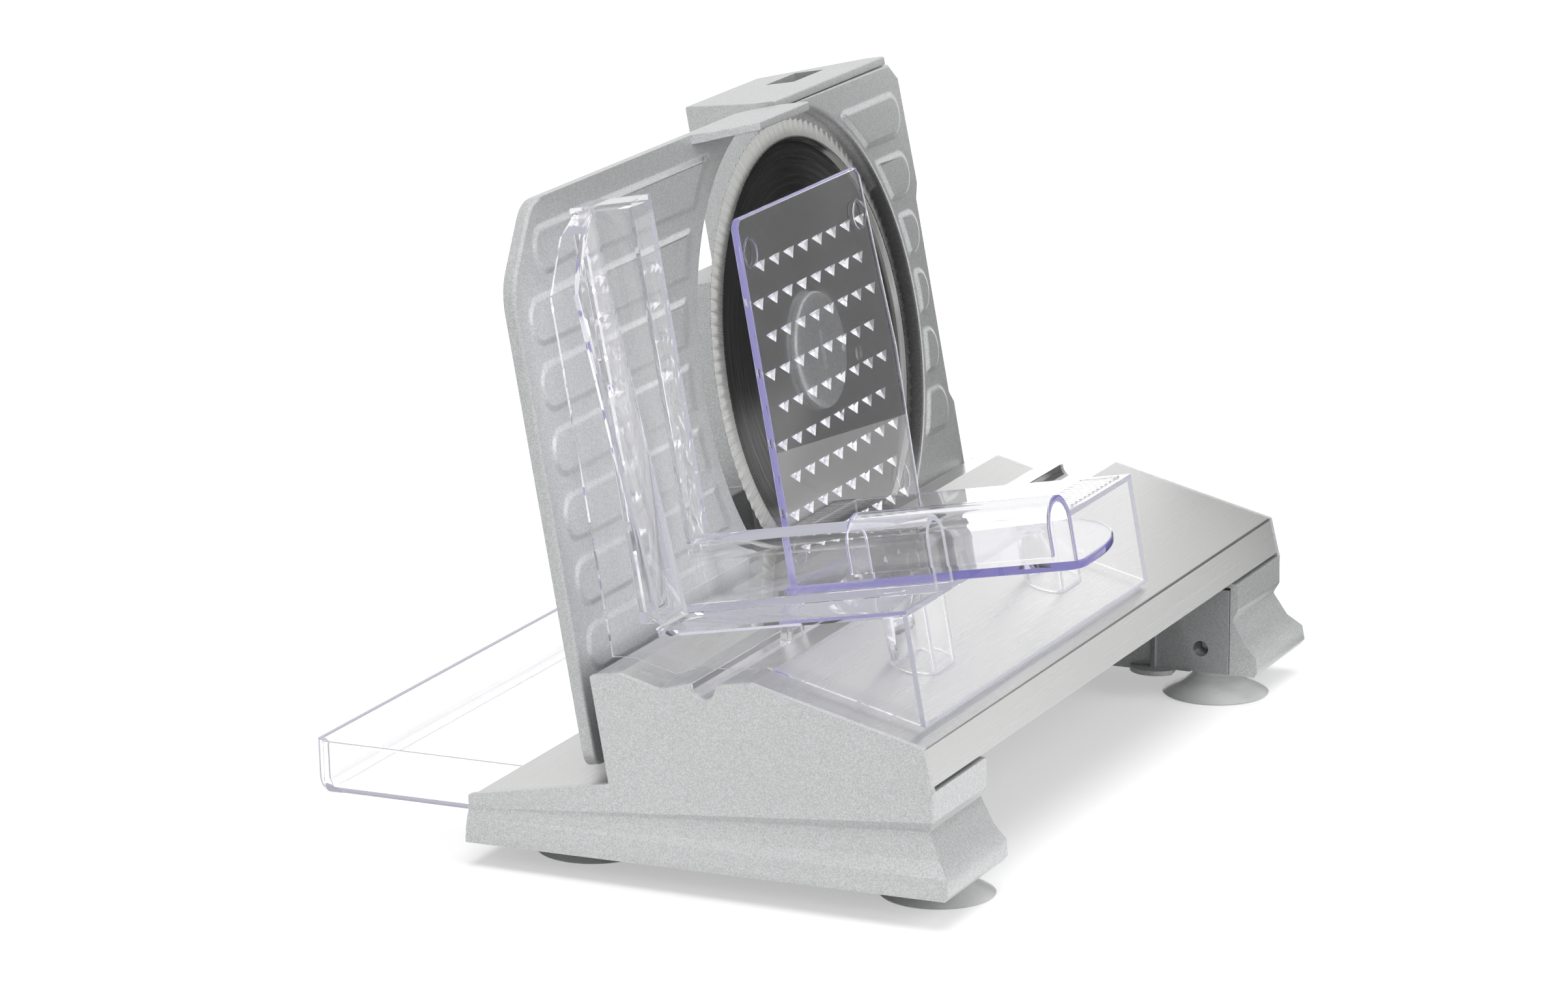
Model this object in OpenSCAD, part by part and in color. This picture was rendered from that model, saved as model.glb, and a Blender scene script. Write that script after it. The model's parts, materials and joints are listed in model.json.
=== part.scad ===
// Electric food slicer with a leaning round blade, a sliding food carriage, a food pusher,
// a thickness plate moved by a knob, and a catch tray that stands behind the machine.
// X runs along the carriage slide, Y points away from the operator, Z points up.
// The origin is the middle of the footprint, on the table.
// Most upright parts are drawn in the blade frame: x along the slide, y straight back from
// the plane of the cutting edge, z up along that plane, with the blade centre at y = 0, z = 0.

/* [Base] */
// Overall length of the base, outside one foot to outside the other
base_l = 380; // [360:1:400]
// Width of each foot along the slide
foot_w = 52; // [46:1:56]
// Depth of the upper deck, from its rear edge to its front edge
deck_depth = 134.5; // [130:0.5:140]
// Height of the deck's rear plateau above the table
plateau_h = 81.5; // [80:0.25:82.5]
// Height of the deck's front edge above the table
front_h = 66.5; // [64:0.5:69]
// Height of the upright front band of the deck
band_h = 14.5; // [12:0.5:16]
// Depth of the low rear deck behind the block
rear_deck_depth = 59.5; // [57:0.5:64]
// Thickness of the stainless deck sheets
sheet_t = 1; // [0.8:0.1:1.4]
// Wall of the plastic castings of the base
base_wall = 2.6; // [2:0.1:3.2]

/* [Suction feet] */
// Radius of a suction cup at the table
cup_r = 22; // [18:0.5:24]
// Height of the foot castings' lower edge above the table
foot_clear = 9; // [8:0.5:11]

/* [Blade] */
// Diameter of the round blade over its teeth
blade_d = 190; // [180:1:196]
// Height of the blade's centre above the table
blade_h = 149.5; // [148:0.5:151]
// Distance of the blade's centre to the right of the middle of the base
blade_x = 66; // [60:1:72]
// Lean of the blade plane, back from upright, in degrees
lean = 10.5; // [9:0.25:12]
// Number of scallops round the cutting edge
blade_teeth = 120; // [90:2:140]

/* [Motor housing] */
// Height of the housing's top above the blade centre, along the lean
housing_top = 103.5; // [101:0.5:108]
// Depth of the motor housing behind the blade plane
housing_back = 45; // [44:0.5:50]
// Wall of the motor housing
housing_wall = 2.5; // [2:0.1:3]

/* [Thickness plate] */
// Slice thickness that the plate is set to
slice_t = 3.3; // [1:0.1:6]
// Full travel of the thickness plate
slice_max = 15; // [12:0.5:16]
// Thickness of the plate over its rounded rim
plate_t = 5; // [4:0.25:6]
// Diameter of the thickness knob
knob_d = 38; // [30:1:44]

/* [Carriage] */
// Length of the carriage along the slide
carriage_l = 232; // [220:1:240]
// Depth of the carriage, from its rear edge to its front face
carriage_depth = 122.5; // [116:0.5:126]
// Wall of the clear mouldings
clear_wall = 2.5; // [2:0.1:3]
// Height of the carriage's upright above the blade centre
upright_top = 96.5; // [88:0.5:98]
// Width of the hollow guide wall between carriage and food
wall_w = 17; // [15:0.5:19]

/* [Food pusher] */
// Width of the pusher plate
pusher_w = 122; // [110:1:130]
// Height of the pusher plate
pusher_h = 143; // [130:1:148]
// Distance of the pusher plate in front of the blade plane
pusher_out = 63; // [50:1:66]

/* [Catch tray] */
// Gap between an end of the tray's floor and the lip of a suction cup
tray_gap = 1.3; // [1:0.1:8]
// Depth of the tray, front to back
tray_depth = 150; // [130:1:156]
// Height of the tray
tray_h = 22; // [18:0.5:23]

/* [Fits] */
// Radial clearance of shafts in their bushes
run_fit = 0.06; // [0.02:0.01:0.1]
// Gap between surfaces that slide on one another
slide_gap = 0.4; // [0.3:0.05:0.6]

/* [Hidden] */
$fn = 48;
eps = 0.01;

// Places that follow from the driving sizes. "s" is a height in the blade frame, measured
// along the lean from the blade centre, and "o" is a distance back from the blade plane.
blade_r = blade_d / 2;
blade_y = 31.3;
half_l = base_l / 2;
block_o = -6;
floor_s = -114;
function plane_y(o, z) = blade_y + o / cos(lean) + (z - blade_h) * tan(lean);
function world_y(o, s) = blade_y + o * cos(lean) + s * sin(lean);
function world_z(o, s) = blade_h - o * sin(lean) + s * cos(lean);
function frame_s(y, z) = (y - blade_y) * sin(lean) + (z - blade_h) * cos(lean);

// Deck profile, from the rear edge to the front edge
deck_back_z = plateau_h - 2;
deck_back_y = plane_y(block_o, deck_back_z);
plateau_w = 11.5;
dip_y = deck_back_y - 28;
dip_z = plateau_h - 4.3;
groove_y = deck_back_y - 46.2;
groove_r = 5.2;
groove_z = plateau_h - 1.2;
ridge_y = deck_back_y - 65;
ridge_z = plateau_h + 2.1;
front_y = deck_back_y - deck_depth;
band_lean = 3.5;
band_y = front_y - band_lean;
band_z = front_h - band_h;
slope = (ridge_z - front_h) / (ridge_y - front_y);
function slope_z(y) = ridge_z - slope * (ridge_y - y);

// Feet
skirt_z = foot_clear;
foot_front_y = band_y - 0.5;
foot_rear_o = block_o + rear_deck_depth;
foot_rear_y = world_y(foot_rear_o, floor_s);
foot_rear_z = world_z(foot_rear_o, floor_s);
block_foot_y = world_y(block_o, floor_s);
block_foot_z = world_z(block_o, floor_s);
foot_in = half_l - foot_w;
band_slot = 1.6;
cup_x = half_l - 38.5;
cup_front_y = band_y + 13.3;
cup_rear_y = foot_rear_y - 34;
foot_floor_z = foot_clear + 2;
foot_floor_t = 2.4;
stem_r = 9.4;
frame_t = 3;
rail_z = deck_back_z - 11;
hollow_z = groove_z - groove_r - sheet_t - frame_t;
front_in = band_y + sheet_t + frame_t + band_lean;
back_in = plane_y(block_o - sheet_t - frame_t, hollow_z);
screw_y = cup_front_y + 2;
screw_z = skirt_z + 12.5;
screw_bore = 3.3;
lug_y = cup_front_y + 22;
cup_seat = foot_floor_z + foot_floor_t;
skirt_t = base_wall + 0.6;
rear_flute = 0.35;

// Housing
panel_front = -3;
panel_t = 9.5;
floor_o = 3.5;
recess_r = blade_r + 4.3;
panel_back = panel_front + panel_t;
box_left = blade_x - 6;
box_right = box_left + 114;
box_rear_left = box_left + 17;
box_rear_right = box_right - 25;
gear_left = blade_x - 41;
gear_top = 38;
gear_o = housing_back;
cap_t = 3.6;
panel_right = half_l - 3;
wing_left = gear_left - 125;
wing_top = -46;
wing_front = plate_o() + plate_t + slice_max - slice_t + 0.8;
switch_l = 31;
switch_w = 13;
switch_x = box_left + 76;
switch_o = 21.5;
switch_under = housing_top - housing_wall - 1;
inlet_x = box_rear_right - 16;
inlet_s = floor_s + 22;
inlet_r = 6;
housing_bolts = [[box_rear_left + 8, housing_top - 12], [box_rear_right - 8, housing_top - 12],
    [box_rear_left + 8, -40], [box_rear_right - 8, -40]];
rocker_l = 27;
rocker_w = switch_w - 0.8;
rocker_s = switch_under - 6;
rocker_pin = 1.2;
rocker_swing = 7;

// Thickness plate and its drive
function plate_o() = slice_t;
plate_left = -half_l + 11;
plate_top = 102;
plate_bottom = -110;
plate_corner = [plate_left + 28, plate_top];
plate_shoulder = [plate_left + 0.5, 73];
plate_gap_r = blade_r + 5;
drive_s = -76;
drive_x = gear_left - 76;
rod_r = 5;
rod_pitch = 46;
plate_skin = 2;
spindle_r = 4.8;
spindle_lead = 16.4;
nut_r = 9;
nut_l = 8;
screw_depth = 1.05;
thread_front = plate_o() + plate_skin + slice_max - slice_t + 0.6;
thread_back = housing_back - 6;
nut_back = thread_back - 0.4 - (slice_max - slice_t);

// Drive
shaft_r = 6;
worm_x = blade_x + 38;
worm_o = 25;
worm_r = 6.9;
worm_depth = 2.6;
gear_teeth = 32;
gear_module = 2;
gear_pitch_r = gear_teeth * gear_module / 2;
gear_w = 8;
motor_r = 16.5;
motor_s = 34;
motor_l = 44;
bush_r = 9;
worm_shaft_r = 2.9;
worm_pitch = PI * gear_module;
worm_turns = 4;
pin_hole_r = 3.4;
pin_hole_at = 40.6;
pin_hole_angle = 13.4;

// Carriage, in the blade frame
car_x = -half_l + 16;
car_back = -8.5;
car_front = car_back - carriage_depth;
car_end = car_x + carriage_l;
pocket_w = 29;
wall_x = car_x + pocket_w;
food_x = wall_x + wall_w;
table_s = -61;
table_under = table_s - clear_wall;
rail_top = -33;
crease_s = 68;
post_wide = 32;
post_deep = 16;
post_wall = 2.2;
post_o = -103;
post_x1 = car_x + 67;
post_x2 = car_end - 33;
deck_gap = 2;

// Pusher, in the blade frame
push_front = -pusher_out - 3;
push_rear = -pusher_out;
push_x = food_x + 3.5;
push_bottom = table_s + 0.5;
flange_t = 3.2;
flange_front = push_front - 117;
hood_wall = 2.6;
hood_rear = push_front - 33;
hood_front = flange_front + 2;
rail_r = wall_w / 2;
hood_r = rail_r + slide_gap + hood_wall;
rail_mid = wall_x + rail_r;
rail_axis_s = rail_top - rail_r;
spike_pitch = 13.6;
spike_r = 2.9;
spike_l = 3.5;

// Tray
tray_wall = 2;
tray_back_y = 159.7;
tray_floor_z = 0.5;
tray_taper = 4.8;
tray_corner = 5;
tray_l = 2 * (cup_x - cup_r - tray_gap + tray_taper);

// Colours
steel = [0.78, 0.79, 0.80];
silver = [0.70, 0.71, 0.72];
dark_grey = [0.42, 0.43, 0.45];
clear = [0.86, 0.87, 0.93, 0.45];
white_rubber = [0.90, 0.91, 0.90];
black = [0.08, 0.08, 0.09];

// Puts its children, drawn in the blade frame, where they stand in the machine
module leaning() {
    translate([0, blade_y, blade_h]) rotate([-lean, 0, 0]) children();
}

// Extrudes an outline drawn in (y, z) along X
module along_x(x0, x1) {
    translate([x0, 0, 0]) rotate([90, 0, 90]) linear_extrude(x1 - x0) children();
}

// Extrudes an outline drawn in (x, z) along Y
module along_y(y0, y1) {
    translate([0, y1, 0]) rotate([90, 0, 0]) linear_extrude(y1 - y0) children();
}

// A cylinder along Y, at x and z
module pin_y(x, z, y0, y1, r) {
    translate([x, y0, z]) rotate([-90, 0, 0]) cylinder(h = y1 - y0, r = r);
}

// A bar with both ends round, along X
module round_bar(x0, x1, z, w) {
    translate([x0, z - w / 2]) square([x1 - x0, w]);
    for (x = [x0, x1]) translate([x, z]) circle(w / 2);
}

// A closed skin through outlines of equal length, each a list of [x, y, z] points
module loft(rings) {
    n = len(rings[0]);
    m = len(rings);
    polyhedron(
        points = [for (ring = rings) each ring],
        faces = concat(
            [[for (i = [0:n - 1]) i]],
            [for (k = [0:m - 2], i = [0:n - 1]) let (j = (i + 1) % n)
                each [[k * n + i, (k + 1) * n + i, (k + 1) * n + j], [k * n + i, (k + 1) * n + j, k * n + j]]],
            [[for (i = [n - 1:-1:0]) (m - 1) * n + i]]));
}

// Base

// The arc of the carriage groove, between two angles, at a radius
function groove_arc(r, a0, a1, n = 8) =
    [for (i = [0:n]) let (a = a0 + (a1 - a0) * i / n)
        [groove_y + r * cos(a), groove_z + r * sin(a)]];

// Upper line of the deck, from the rear edge to the front edge
function deck_line() = concat(
    [[deck_back_y, deck_back_z], [deck_back_y - plateau_w, plateau_h], [dip_y, dip_z],
     [groove_y + groove_r + 0.2, groove_z + 0.4]],
    groove_arc(groove_r, 0, -180),
    [[groove_y - groove_r - 0.2, groove_z + 1], [ridge_y, ridge_z], [front_y, front_h]]);

// The same line, a distance t below the deck's surface, from front to rear
function deck_under(t) = concat(
    [[front_y + t, front_h - t], [ridge_y, ridge_z - t]],
    [[groove_y - groove_r - t, groove_z + 1 - t]],
    groove_arc(groove_r + t, -170, -10),
    [[groove_y + groove_r + t, groove_z + 0.4 - t], [dip_y, dip_z - t],
     [deck_back_y - plateau_w, plateau_h - t], [deck_back_y - t, deck_back_z - t]]);

// Upper stainless deck sheet with its front band, rear lip and carriage groove
module deck_plate() color(steel) along_x(-half_l + base_wall, half_l - base_wall)
    polygon(concat([[plane_y(block_o, rail_z), rail_z]], deck_line(),
        [[band_y, band_z], [band_y + sheet_t, band_z]], deck_under(sheet_t),
        [[plane_y(block_o - sheet_t, rail_z), rail_z]]));

// Low rear deck sheet, square to the blade plane
module rear_deck_plate() color(steel) leaning()
    along_x(-half_l + base_wall, half_l - base_wall)
        polygon([[block_o + sheet_t, floor_s - sheet_t], [foot_rear_o - base_wall, floor_s - sheet_t],
            [foot_rear_o - base_wall, floor_s], [block_o + sheet_t, floor_s]]);

// Outline under the deck sheet, and the hollow inside it, in (y, z)
module frame_outer() polygon(concat(
    [[plane_y(block_o, block_foot_z), block_foot_z], [plane_y(block_o, rail_z), rail_z],
     [plane_y(block_o - sheet_t, rail_z), rail_z]],
    reversed(deck_under(sheet_t)),
    [[band_y + sheet_t, band_z], [front_in, band_z], [front_in, block_foot_z]]));
module frame_inner() polygon([[plane_y(block_o - frame_t, block_foot_z - 9), block_foot_z - 9],
    [back_in, hollow_z], [ridge_y, hollow_z],
    [front_in, min(hollow_z, slope_z(front_in) - sheet_t - frame_t)],
    [front_in, block_foot_z - 9]]);
function reversed(list) = [for (i = [len(list) - 1:-1:0]) list[i]];

// Moulded bridge that carries both decks from foot to foot, open below, with cross ribs
module base_frame() color(dark_grey) {
    difference() {
        along_x(-half_l + base_wall + 0.2, half_l - base_wall - 0.2) frame_outer();
        along_x(-half_l, half_l) frame_inner();
    }
    leaning() along_x(-half_l + base_wall + 0.2, half_l - base_wall - 0.2)
        polygon([[block_o, floor_s - sheet_t], [foot_rear_o - base_wall, floor_s - sheet_t],
            [foot_rear_o - base_wall, floor_s - sheet_t - frame_t],
            [block_o - frame_t, floor_s - sheet_t - frame_t], [block_o - frame_t, floor_s]]);
    front_under = min(hollow_z, slope_z(front_in) - sheet_t - frame_t);
    for (x = [-90, -30, 30, 90]) along_x(x, x + 2) polygon([
        [back_in + 1, hollow_z + 1], [ridge_y, hollow_z + 1], [front_in - 1, front_under + 1],
        [front_in - 1, front_under - 7], [front_in + 25, hollow_z - 8], [back_in, hollow_z - 8]]);
}

// Outward steps of the fluted skirt: how far out, and how far up from valley to lip
function flute(z_top, z_valley, z_ridge, z_flare) = [
    [0.3, z_top], [1.5, z_valley + 0.55 * (z_top - z_valley)], [-0.5, z_valley], [1.2, z_ridge],
    [6.2, z_flare], [7.4, skirt_z + 2], [6.6, skirt_z]];

// One cross-section of the skirt at a corner: steps outward along both directions
function skirt_ring(x, y, dx, dy, steps) = concat(
    [for (p = steps) [x + dx * p[0], y + dy * p[0], p[1]]],
    [for (z = [skirt_z, steps[0][1]]) [x - sign(dx) * skirt_t, y - sign(dy) * skirt_t, z]]);

// Fluted skirt round the outer side, front and rear of the foot at -X
module foot_skirt() {
    front = flute(band_z - band_slot, 35.5, 25.5, 19.5);
    rear = flute(foot_rear_z - 5, 20.5, 18.4, 13.2);
    loft([
        skirt_ring(-foot_in - 0.1, foot_rear_y, 0, rear_flute, rear),
        skirt_ring(-half_l, foot_rear_y, -rear_flute, rear_flute, rear),
        skirt_ring(-half_l, foot_front_y, -1, -1, front),
        skirt_ring(-foot_in - 0.1, foot_front_y, 0, -1, front)]);
}

// Outline of a foot's outer end wall, flush with both decks and rooted in the skirt
module end_outline() polygon(concat(
    [[foot_rear_y - 1, foot_rear_z - 6.4], [foot_rear_y, foot_rear_z - 3], [foot_rear_y, foot_rear_z],
        [block_foot_y, block_foot_z]],
    deck_line(), [[band_y, band_z], [foot_front_y, band_z - band_slot],
        [foot_front_y + 0.4, band_z - band_slot - 8]]));

// Casing of the foot at -X: end wall, fluted skirt and the ledge behind the slot
module foot_casing() color(silver) {
    along_x(-half_l, -half_l + base_wall) end_outline();
    foot_skirt();
    along_x(-half_l + base_wall - 1, -foot_in - 1.2)
        polygon([for (p = [[1, 0.5], [9, 0.5], [9, 2.8], [1, 2.8]])
            [foot_front_y + p[0], band_z - band_slot - p[1]]]);
}

// Inner cover of the foot at -X: dark wall, floor that holds the cups, rib, lug and screw boss
module foot_cover() color(dark_grey) {
    front = foot_front_y + skirt_t + 0.3;
    rear = foot_rear_y - skirt_t - 0.3;
    hollow_front = foot_front_y + 9.5;
    under_z = world_z(0, floor_s - sheet_t - frame_t) - 0.4;
    rear_top = world_z(foot_rear_o, floor_s - sheet_t - frame_t) - 0.6;
    block_in = plane_y(block_o - frame_t, under_z) - 1.2;
    difference() {
        union() {
            along_x(-foot_in - 2.4, -foot_in) polygon([[front, skirt_z + 1],
                [front, band_z - band_slot - 3], [hollow_front, band_z - band_slot - 3],
                [hollow_front, front_h - 9], [ridge_y, groove_z - groove_r - frame_t - 3],
                [block_in, groove_z - groove_r - frame_t - 3], [block_in, under_z],
                [rear, rear_top], [rear, skirt_z + 1]]);
            translate([-half_l + skirt_t + 0.3, front, foot_floor_z])
                cube([foot_w - skirt_t - 0.4, rear - front, foot_floor_t]);
            translate([-foot_in - 18, screw_y, screw_z]) rotate([0, 90, 0]) cylinder(h = 17, r = 5.6);
            translate([-foot_in - 0.5, lug_y - 1.2, skirt_z + 2]) cube([3, 2.4, front_h - 26]);
            translate([-foot_in - 2, lug_y, skirt_z + 1]) cylinder(h = 2, r = 11);
            translate([-foot_in - 1, front + 16, skirt_z + 1])
                cube([3.2, lug_y - front - 16, 2]);
        }
        for (y = [cup_front_y, cup_rear_y])
            translate([-cup_x, y, foot_floor_z - 3]) cylinder(h = 8, r = stem_r + 0.1);
        translate([-foot_in - 12, screw_y, screw_z]) rotate([0, 90, 0]) cylinder(h = 20, r = screw_bore);
        translate([-foot_in - 19, screw_y, screw_z]) rotate([0, 90, 0]) cylinder(h = 8, r = 1.6);
    }
}

module left_foot() foot_casing();
module right_foot() mirror([1, 0, 0]) foot_casing();
module left_foot_cover() foot_cover();
module right_foot_cover() mirror([1, 0, 0]) foot_cover();

// Screws deep in the bores of both inner covers
module foot_screws() color(steel) for (side = [0, 1]) mirror([side, 0, 0])
    translate([-foot_in - 12, screw_y, screw_z]) rotate([0, 90, 0]) {
        difference() {
            cylinder(h = 2.2, r = screw_bore - 0.2);
            translate([-0.4, -2, 1.2]) cube([0.8, 4, 2]);
        }
        translate([0, 0, -10]) cylinder(h = 10, r = 1.5);
    }

// One suction cup with its stem through the foot's floor and a collar above it
module suction_cup(x, y) color(white_rubber) translate([x, y, 0]) rotate_extrude($fn = 64)
    polygon([[0, 3.2], [stem_r + 1, 2.4], [cup_r - 2.2, 0], [cup_r - 0.6, 0], [cup_r, 0.5],
        [cup_r - 1.6, 1.5], [stem_r + 5, 4.4], [stem_r + 1.2, 7.2], [stem_r, 9],
        [stem_r, cup_seat + 0.1], [stem_r + 0.8, cup_seat + 0.4], [stem_r + 0.4, cup_seat + 1.4],
        [4, cup_seat + 1.7], [0, cup_seat + 1.7]]);
module front_left_cup() suction_cup(-cup_x, cup_front_y);
module front_right_cup() suction_cup(cup_x, cup_front_y);
module rear_left_cup() suction_cup(-cup_x, cup_rear_y);
module rear_right_cup() suction_cup(cup_x, cup_rear_y);

// Housing

// Outline of the silver front panel, in (x, s)
module panel_outline() polygon([
    [box_left, housing_top - cap_t - 0.3], [box_right + 3.5, housing_top - cap_t - 0.3],
    [panel_right - 1.5, housing_top - 11], [panel_right + 0.5, 47], [panel_right - 3, 41],
    [panel_right - 2.5, -42], [panel_right + 1, -47], [panel_right + 1, floor_s],
    [gear_left, floor_s], [gear_left, gear_top], [box_left, gear_top]]);

// Pads embossed on the right of the panel, each with a round end
module panel_pads() for (i = [-2:3]) along_y(panel_front - 1.2, panel_front + 0.5)
    difference() {
        round_bar(blade_x + 60, panel_right - 16, 4 + 25 * i, 17);
        translate([blade_x, 0]) circle(recess_r + 3.5, $fn = 96);
    }

// Silver front panel with the round recess that the blade turns in
module housing_panel() color(silver) leaning() difference() {
    union() {
        difference() {
            along_y(panel_front, panel_back) panel_outline();
            pin_y(blade_x, 0, panel_front - 1, floor_o, recess_r, $fn = 128);
        }
        panel_pads();
        pin_y(blade_x, 0, floor_o, panel_back + 9, bush_r + 3);
        along_y(panel_back - eps, panel_back + 6) polygon([
            [panel_right - 5, 40], [panel_right - 2.4, 40], [panel_right - 2, -41],
            [panel_right + 1, -47], [panel_right + 1, floor_s], [panel_right - 2.5, floor_s],
            [panel_right - 2.5, -45], [panel_right - 5, -42]]);
    }
    pin_y(blade_x, 0, floor_o - 1, panel_back + 10, bush_r, $fn = 64);
}

// Plan of the motor box behind the panel, drawn in by w
module box_plan(w) polygon([[box_left + w, panel_back], [box_right - w, panel_back],
    [box_rear_right - w, housing_back - w], [box_rear_left + w, housing_back - w]]);

// Motor housing: tapered box with a flat cap, gear case and guide wing, hollow inside
module motor_housing() color(silver) leaning() difference() {
    union() {
        translate([0, 0, floor_s]) linear_extrude(housing_top - floor_s) box_plan(0);
        translate([0, 0, housing_top - cap_t]) linear_extrude(cap_t)
            polygon([[box_left, panel_front], [box_right, panel_front],
                [box_right, panel_back], [box_left, panel_back]]);
        translate([gear_left, panel_back, floor_s])
            cube([box_right - gear_left - 30, gear_o - panel_back, gear_top - floor_s]);
        translate([wing_left, wing_front, floor_s])
            cube([gear_left - wing_left + 25, housing_back - wing_front, wing_top - floor_s]);
    }
    w = housing_wall;
    translate([0, -eps, floor_s + w]) linear_extrude(housing_top - floor_s - 2 * w - 1) box_plan(w);
    translate([gear_left + w, panel_back - 1, floor_s + w])
        cube([box_right - gear_left - 30 - 2 * w, gear_o - panel_back - w + 1, gear_top - floor_s - 2 * w]);
    translate([wing_left + w, wing_front + w, floor_s + w])
        cube([gear_left - wing_left + 27, housing_back - wing_front - 2 * w, wing_top - floor_s - 2 * w]);
    for (side = [-1, 1])
        pin_y(drive_x + side * rod_pitch / 2, drive_s, wing_front - 1, wing_front + 4, rod_r + 2);
    pin_y(drive_x, drive_s, wing_front - 1, wing_front + 4, nut_r + 1);
    pin_y(drive_x, drive_s, housing_back - 5, housing_back + 1, spindle_r + 2);
    pin_y(blade_x, 0, housing_back - w - 1, housing_back + 1, bush_r);
    translate([switch_x - switch_l / 2, switch_o - switch_w / 2, housing_top - cap_t - 5])
        cube([switch_l, switch_w, cap_t + 6]);
    pin_y(inlet_x, inlet_s, housing_back - 5, housing_back + 1, inlet_r);
    for (p = housing_bolts) pin_y(p[0], p[1], housing_back - 5, housing_back + 1, 1.7);
}

// Countersunk screws in the rear wall of the motor housing
module housing_screws() color(steel) leaning() for (p = housing_bolts) {
    pin_y(p[0], p[1], housing_back - 9, housing_back, 1.6);
    difference() {
        pin_y(p[0], p[1], housing_back, housing_back + 1.6, 3.4);
        translate([p[0] - 0.4, housing_back + 0.8, p[1] - 2.4]) cube([0.8, 2, 4.8]);
    }
}

// Gland where the mains lead enters the housing
module cord_inlet() color(black) leaning() translate([inlet_x, housing_back - 4, inlet_s])
    rotate([-90, 0, 0]) rotate_extrude() polygon([[3.2, 0], [inlet_r - 0.1, 0],
        [inlet_r - 0.1, 4], [inlet_r + 2.5, 4], [inlet_r + 2, 6], [inlet_r - 0.6, 8], [3.2, 8]]);

// Switch

// Body of the switch, hung under the housing's top, with a deep well for the rocker
module switch_body() color(black) leaning() difference() {
    translate([switch_x - switch_l / 2 - 2, switch_o - switch_w / 2 - 2, switch_under - 20])
        cube([switch_l + 4, switch_w + 4, 20]);
    translate([switch_x - switch_l / 2, switch_o - switch_w / 2, rocker_s - 7])
        cube([switch_l, switch_w, 30]);
    pin_y(switch_x, rocker_s, switch_o - switch_w / 2 - 1.2, switch_o + switch_w / 2 + 1.2, rocker_pin + run_fit);
}

// Rocker of the switch, on a cross pin, pressed down at its right end
module power_switch() color(black) leaning() translate([switch_x, switch_o, rocker_s])
    rotate([0, rocker_swing, 0]) {
        along_y(-rocker_w / 2, rocker_w / 2) polygon([[-rocker_l / 2, 1], [-rocker_l / 2, 5],
            [0, 3.4], [rocker_l / 2, 5], [rocker_l / 2, 1], [3, -3], [-3, -3]]);
        pin_y(0, 0, -rocker_w / 2 - 1.3, rocker_w / 2 + 1.3, rocker_pin);
    }

// Motor and gearing

// Can of the motor, standing in the box beside the worm gear
module motor_can() color(steel) leaning() translate([worm_x, worm_o, motor_s]) difference() {
    cylinder(h = motor_l, r = motor_r);
    translate([0, 0, 2]) cylinder(h = motor_l - 4, r = motor_r - 2.5);
    translate([0, 0, -1]) cylinder(h = motor_l + 2, r = 3);
    for (a = [0:45:315]) rotate([0, 0, a]) translate([motor_r - 4, -1.5, motor_l - 12])
        cube([6, 3, 8]);
}

// Saddle that holds the motor to the panel
module motor_clamp() color(dark_grey) leaning() translate([worm_x, 0, motor_s + 8]) difference() {
    translate([-motor_r - 4, panel_back, 0]) cube([2 * motor_r + 8, worm_o - panel_back + 4, 8]);
    translate([0, worm_o, -1]) cylinder(h = 10, r = motor_r + 0.05);
}

// Armature inside the can: laminations, windings and commutator
module motor_armature() color([0.72, 0.42, 0.22]) leaning() translate([worm_x, worm_o, motor_s]) {
    difference() {
        union() {
            translate([0, 0, 10]) cylinder(h = 20, r = motor_r - 4);
            translate([0, 0, 6]) cylinder(h = 28, r = motor_r - 7);
            translate([0, 0, 33]) cylinder(h = 7, r = 5);
        }
        for (a = [0:60:300]) rotate([0, 0, a]) translate([motor_r - 6, -0.8, 5]) cube([4, 1.6, 30]);
        translate([0, 0, -1]) cylinder(h = motor_l, r = worm_shaft_r);
    }
}

// Motor shaft with the worm that drives the gear
module worm_shaft() color(steel) leaning() translate([worm_x, worm_o, 0]) {
    translate([0, 0, -worm_pitch * worm_turns / 2])
        linear_extrude(worm_pitch * worm_turns, twist = -360 * worm_turns, slices = 12 * worm_turns)
            translate([worm_depth / 2, 0]) circle(worm_r - worm_depth / 2, $fn = 16);
    translate([0, 0, -24]) cylinder(h = 24 + motor_s + motor_l - 0.6, r = worm_shaft_r);
}

// Lower bearing block of the worm shaft
module worm_bush() color([0.75, 0.6, 0.35]) leaning() difference() {
    translate([worm_x - 7, panel_back, -25]) cube([14, worm_o - panel_back + 7, 7]);
    translate([worm_x, worm_o, -26]) cylinder(h = 9, r = worm_shaft_r + run_fit);
}

// Helically driven gear on the blade shaft
module worm_gear() color([0.93, 0.92, 0.86]) leaning() translate([blade_x, worm_o - gear_w / 2, 0])
    rotate([-90, 0, 0]) difference() {
        union() {
            linear_extrude(gear_w) polygon([for (i = [0:gear_teeth - 1]) let (a = 360 * i / gear_teeth)
                each [for (p = [[-0.27, -2.2], [-0.1, 1], [0.1, 1], [0.27, -2.2]])
                    (gear_pitch_r + p[1]) * [cos(a + p[0] * 360 / gear_teeth), sin(a + p[0] * 360 / gear_teeth)]]]);
            translate([0, 0, -3]) cylinder(h = gear_w + 6, r = shaft_r + 4);
        }
        translate([0, 0, -4]) cylinder(h = gear_w + 8, r = shaft_r);
        for (a = [0:60:300]) rotate([0, 0, a]) translate([19, 0, -1]) cylinder(h = gear_w + 2, r = 5);
    }

// Shaft that carries the blade and the gear
module blade_shaft() color(steel) leaning() pin_y(blade_x, 0, 2, housing_back - 1, shaft_r, $fn = 64);

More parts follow.
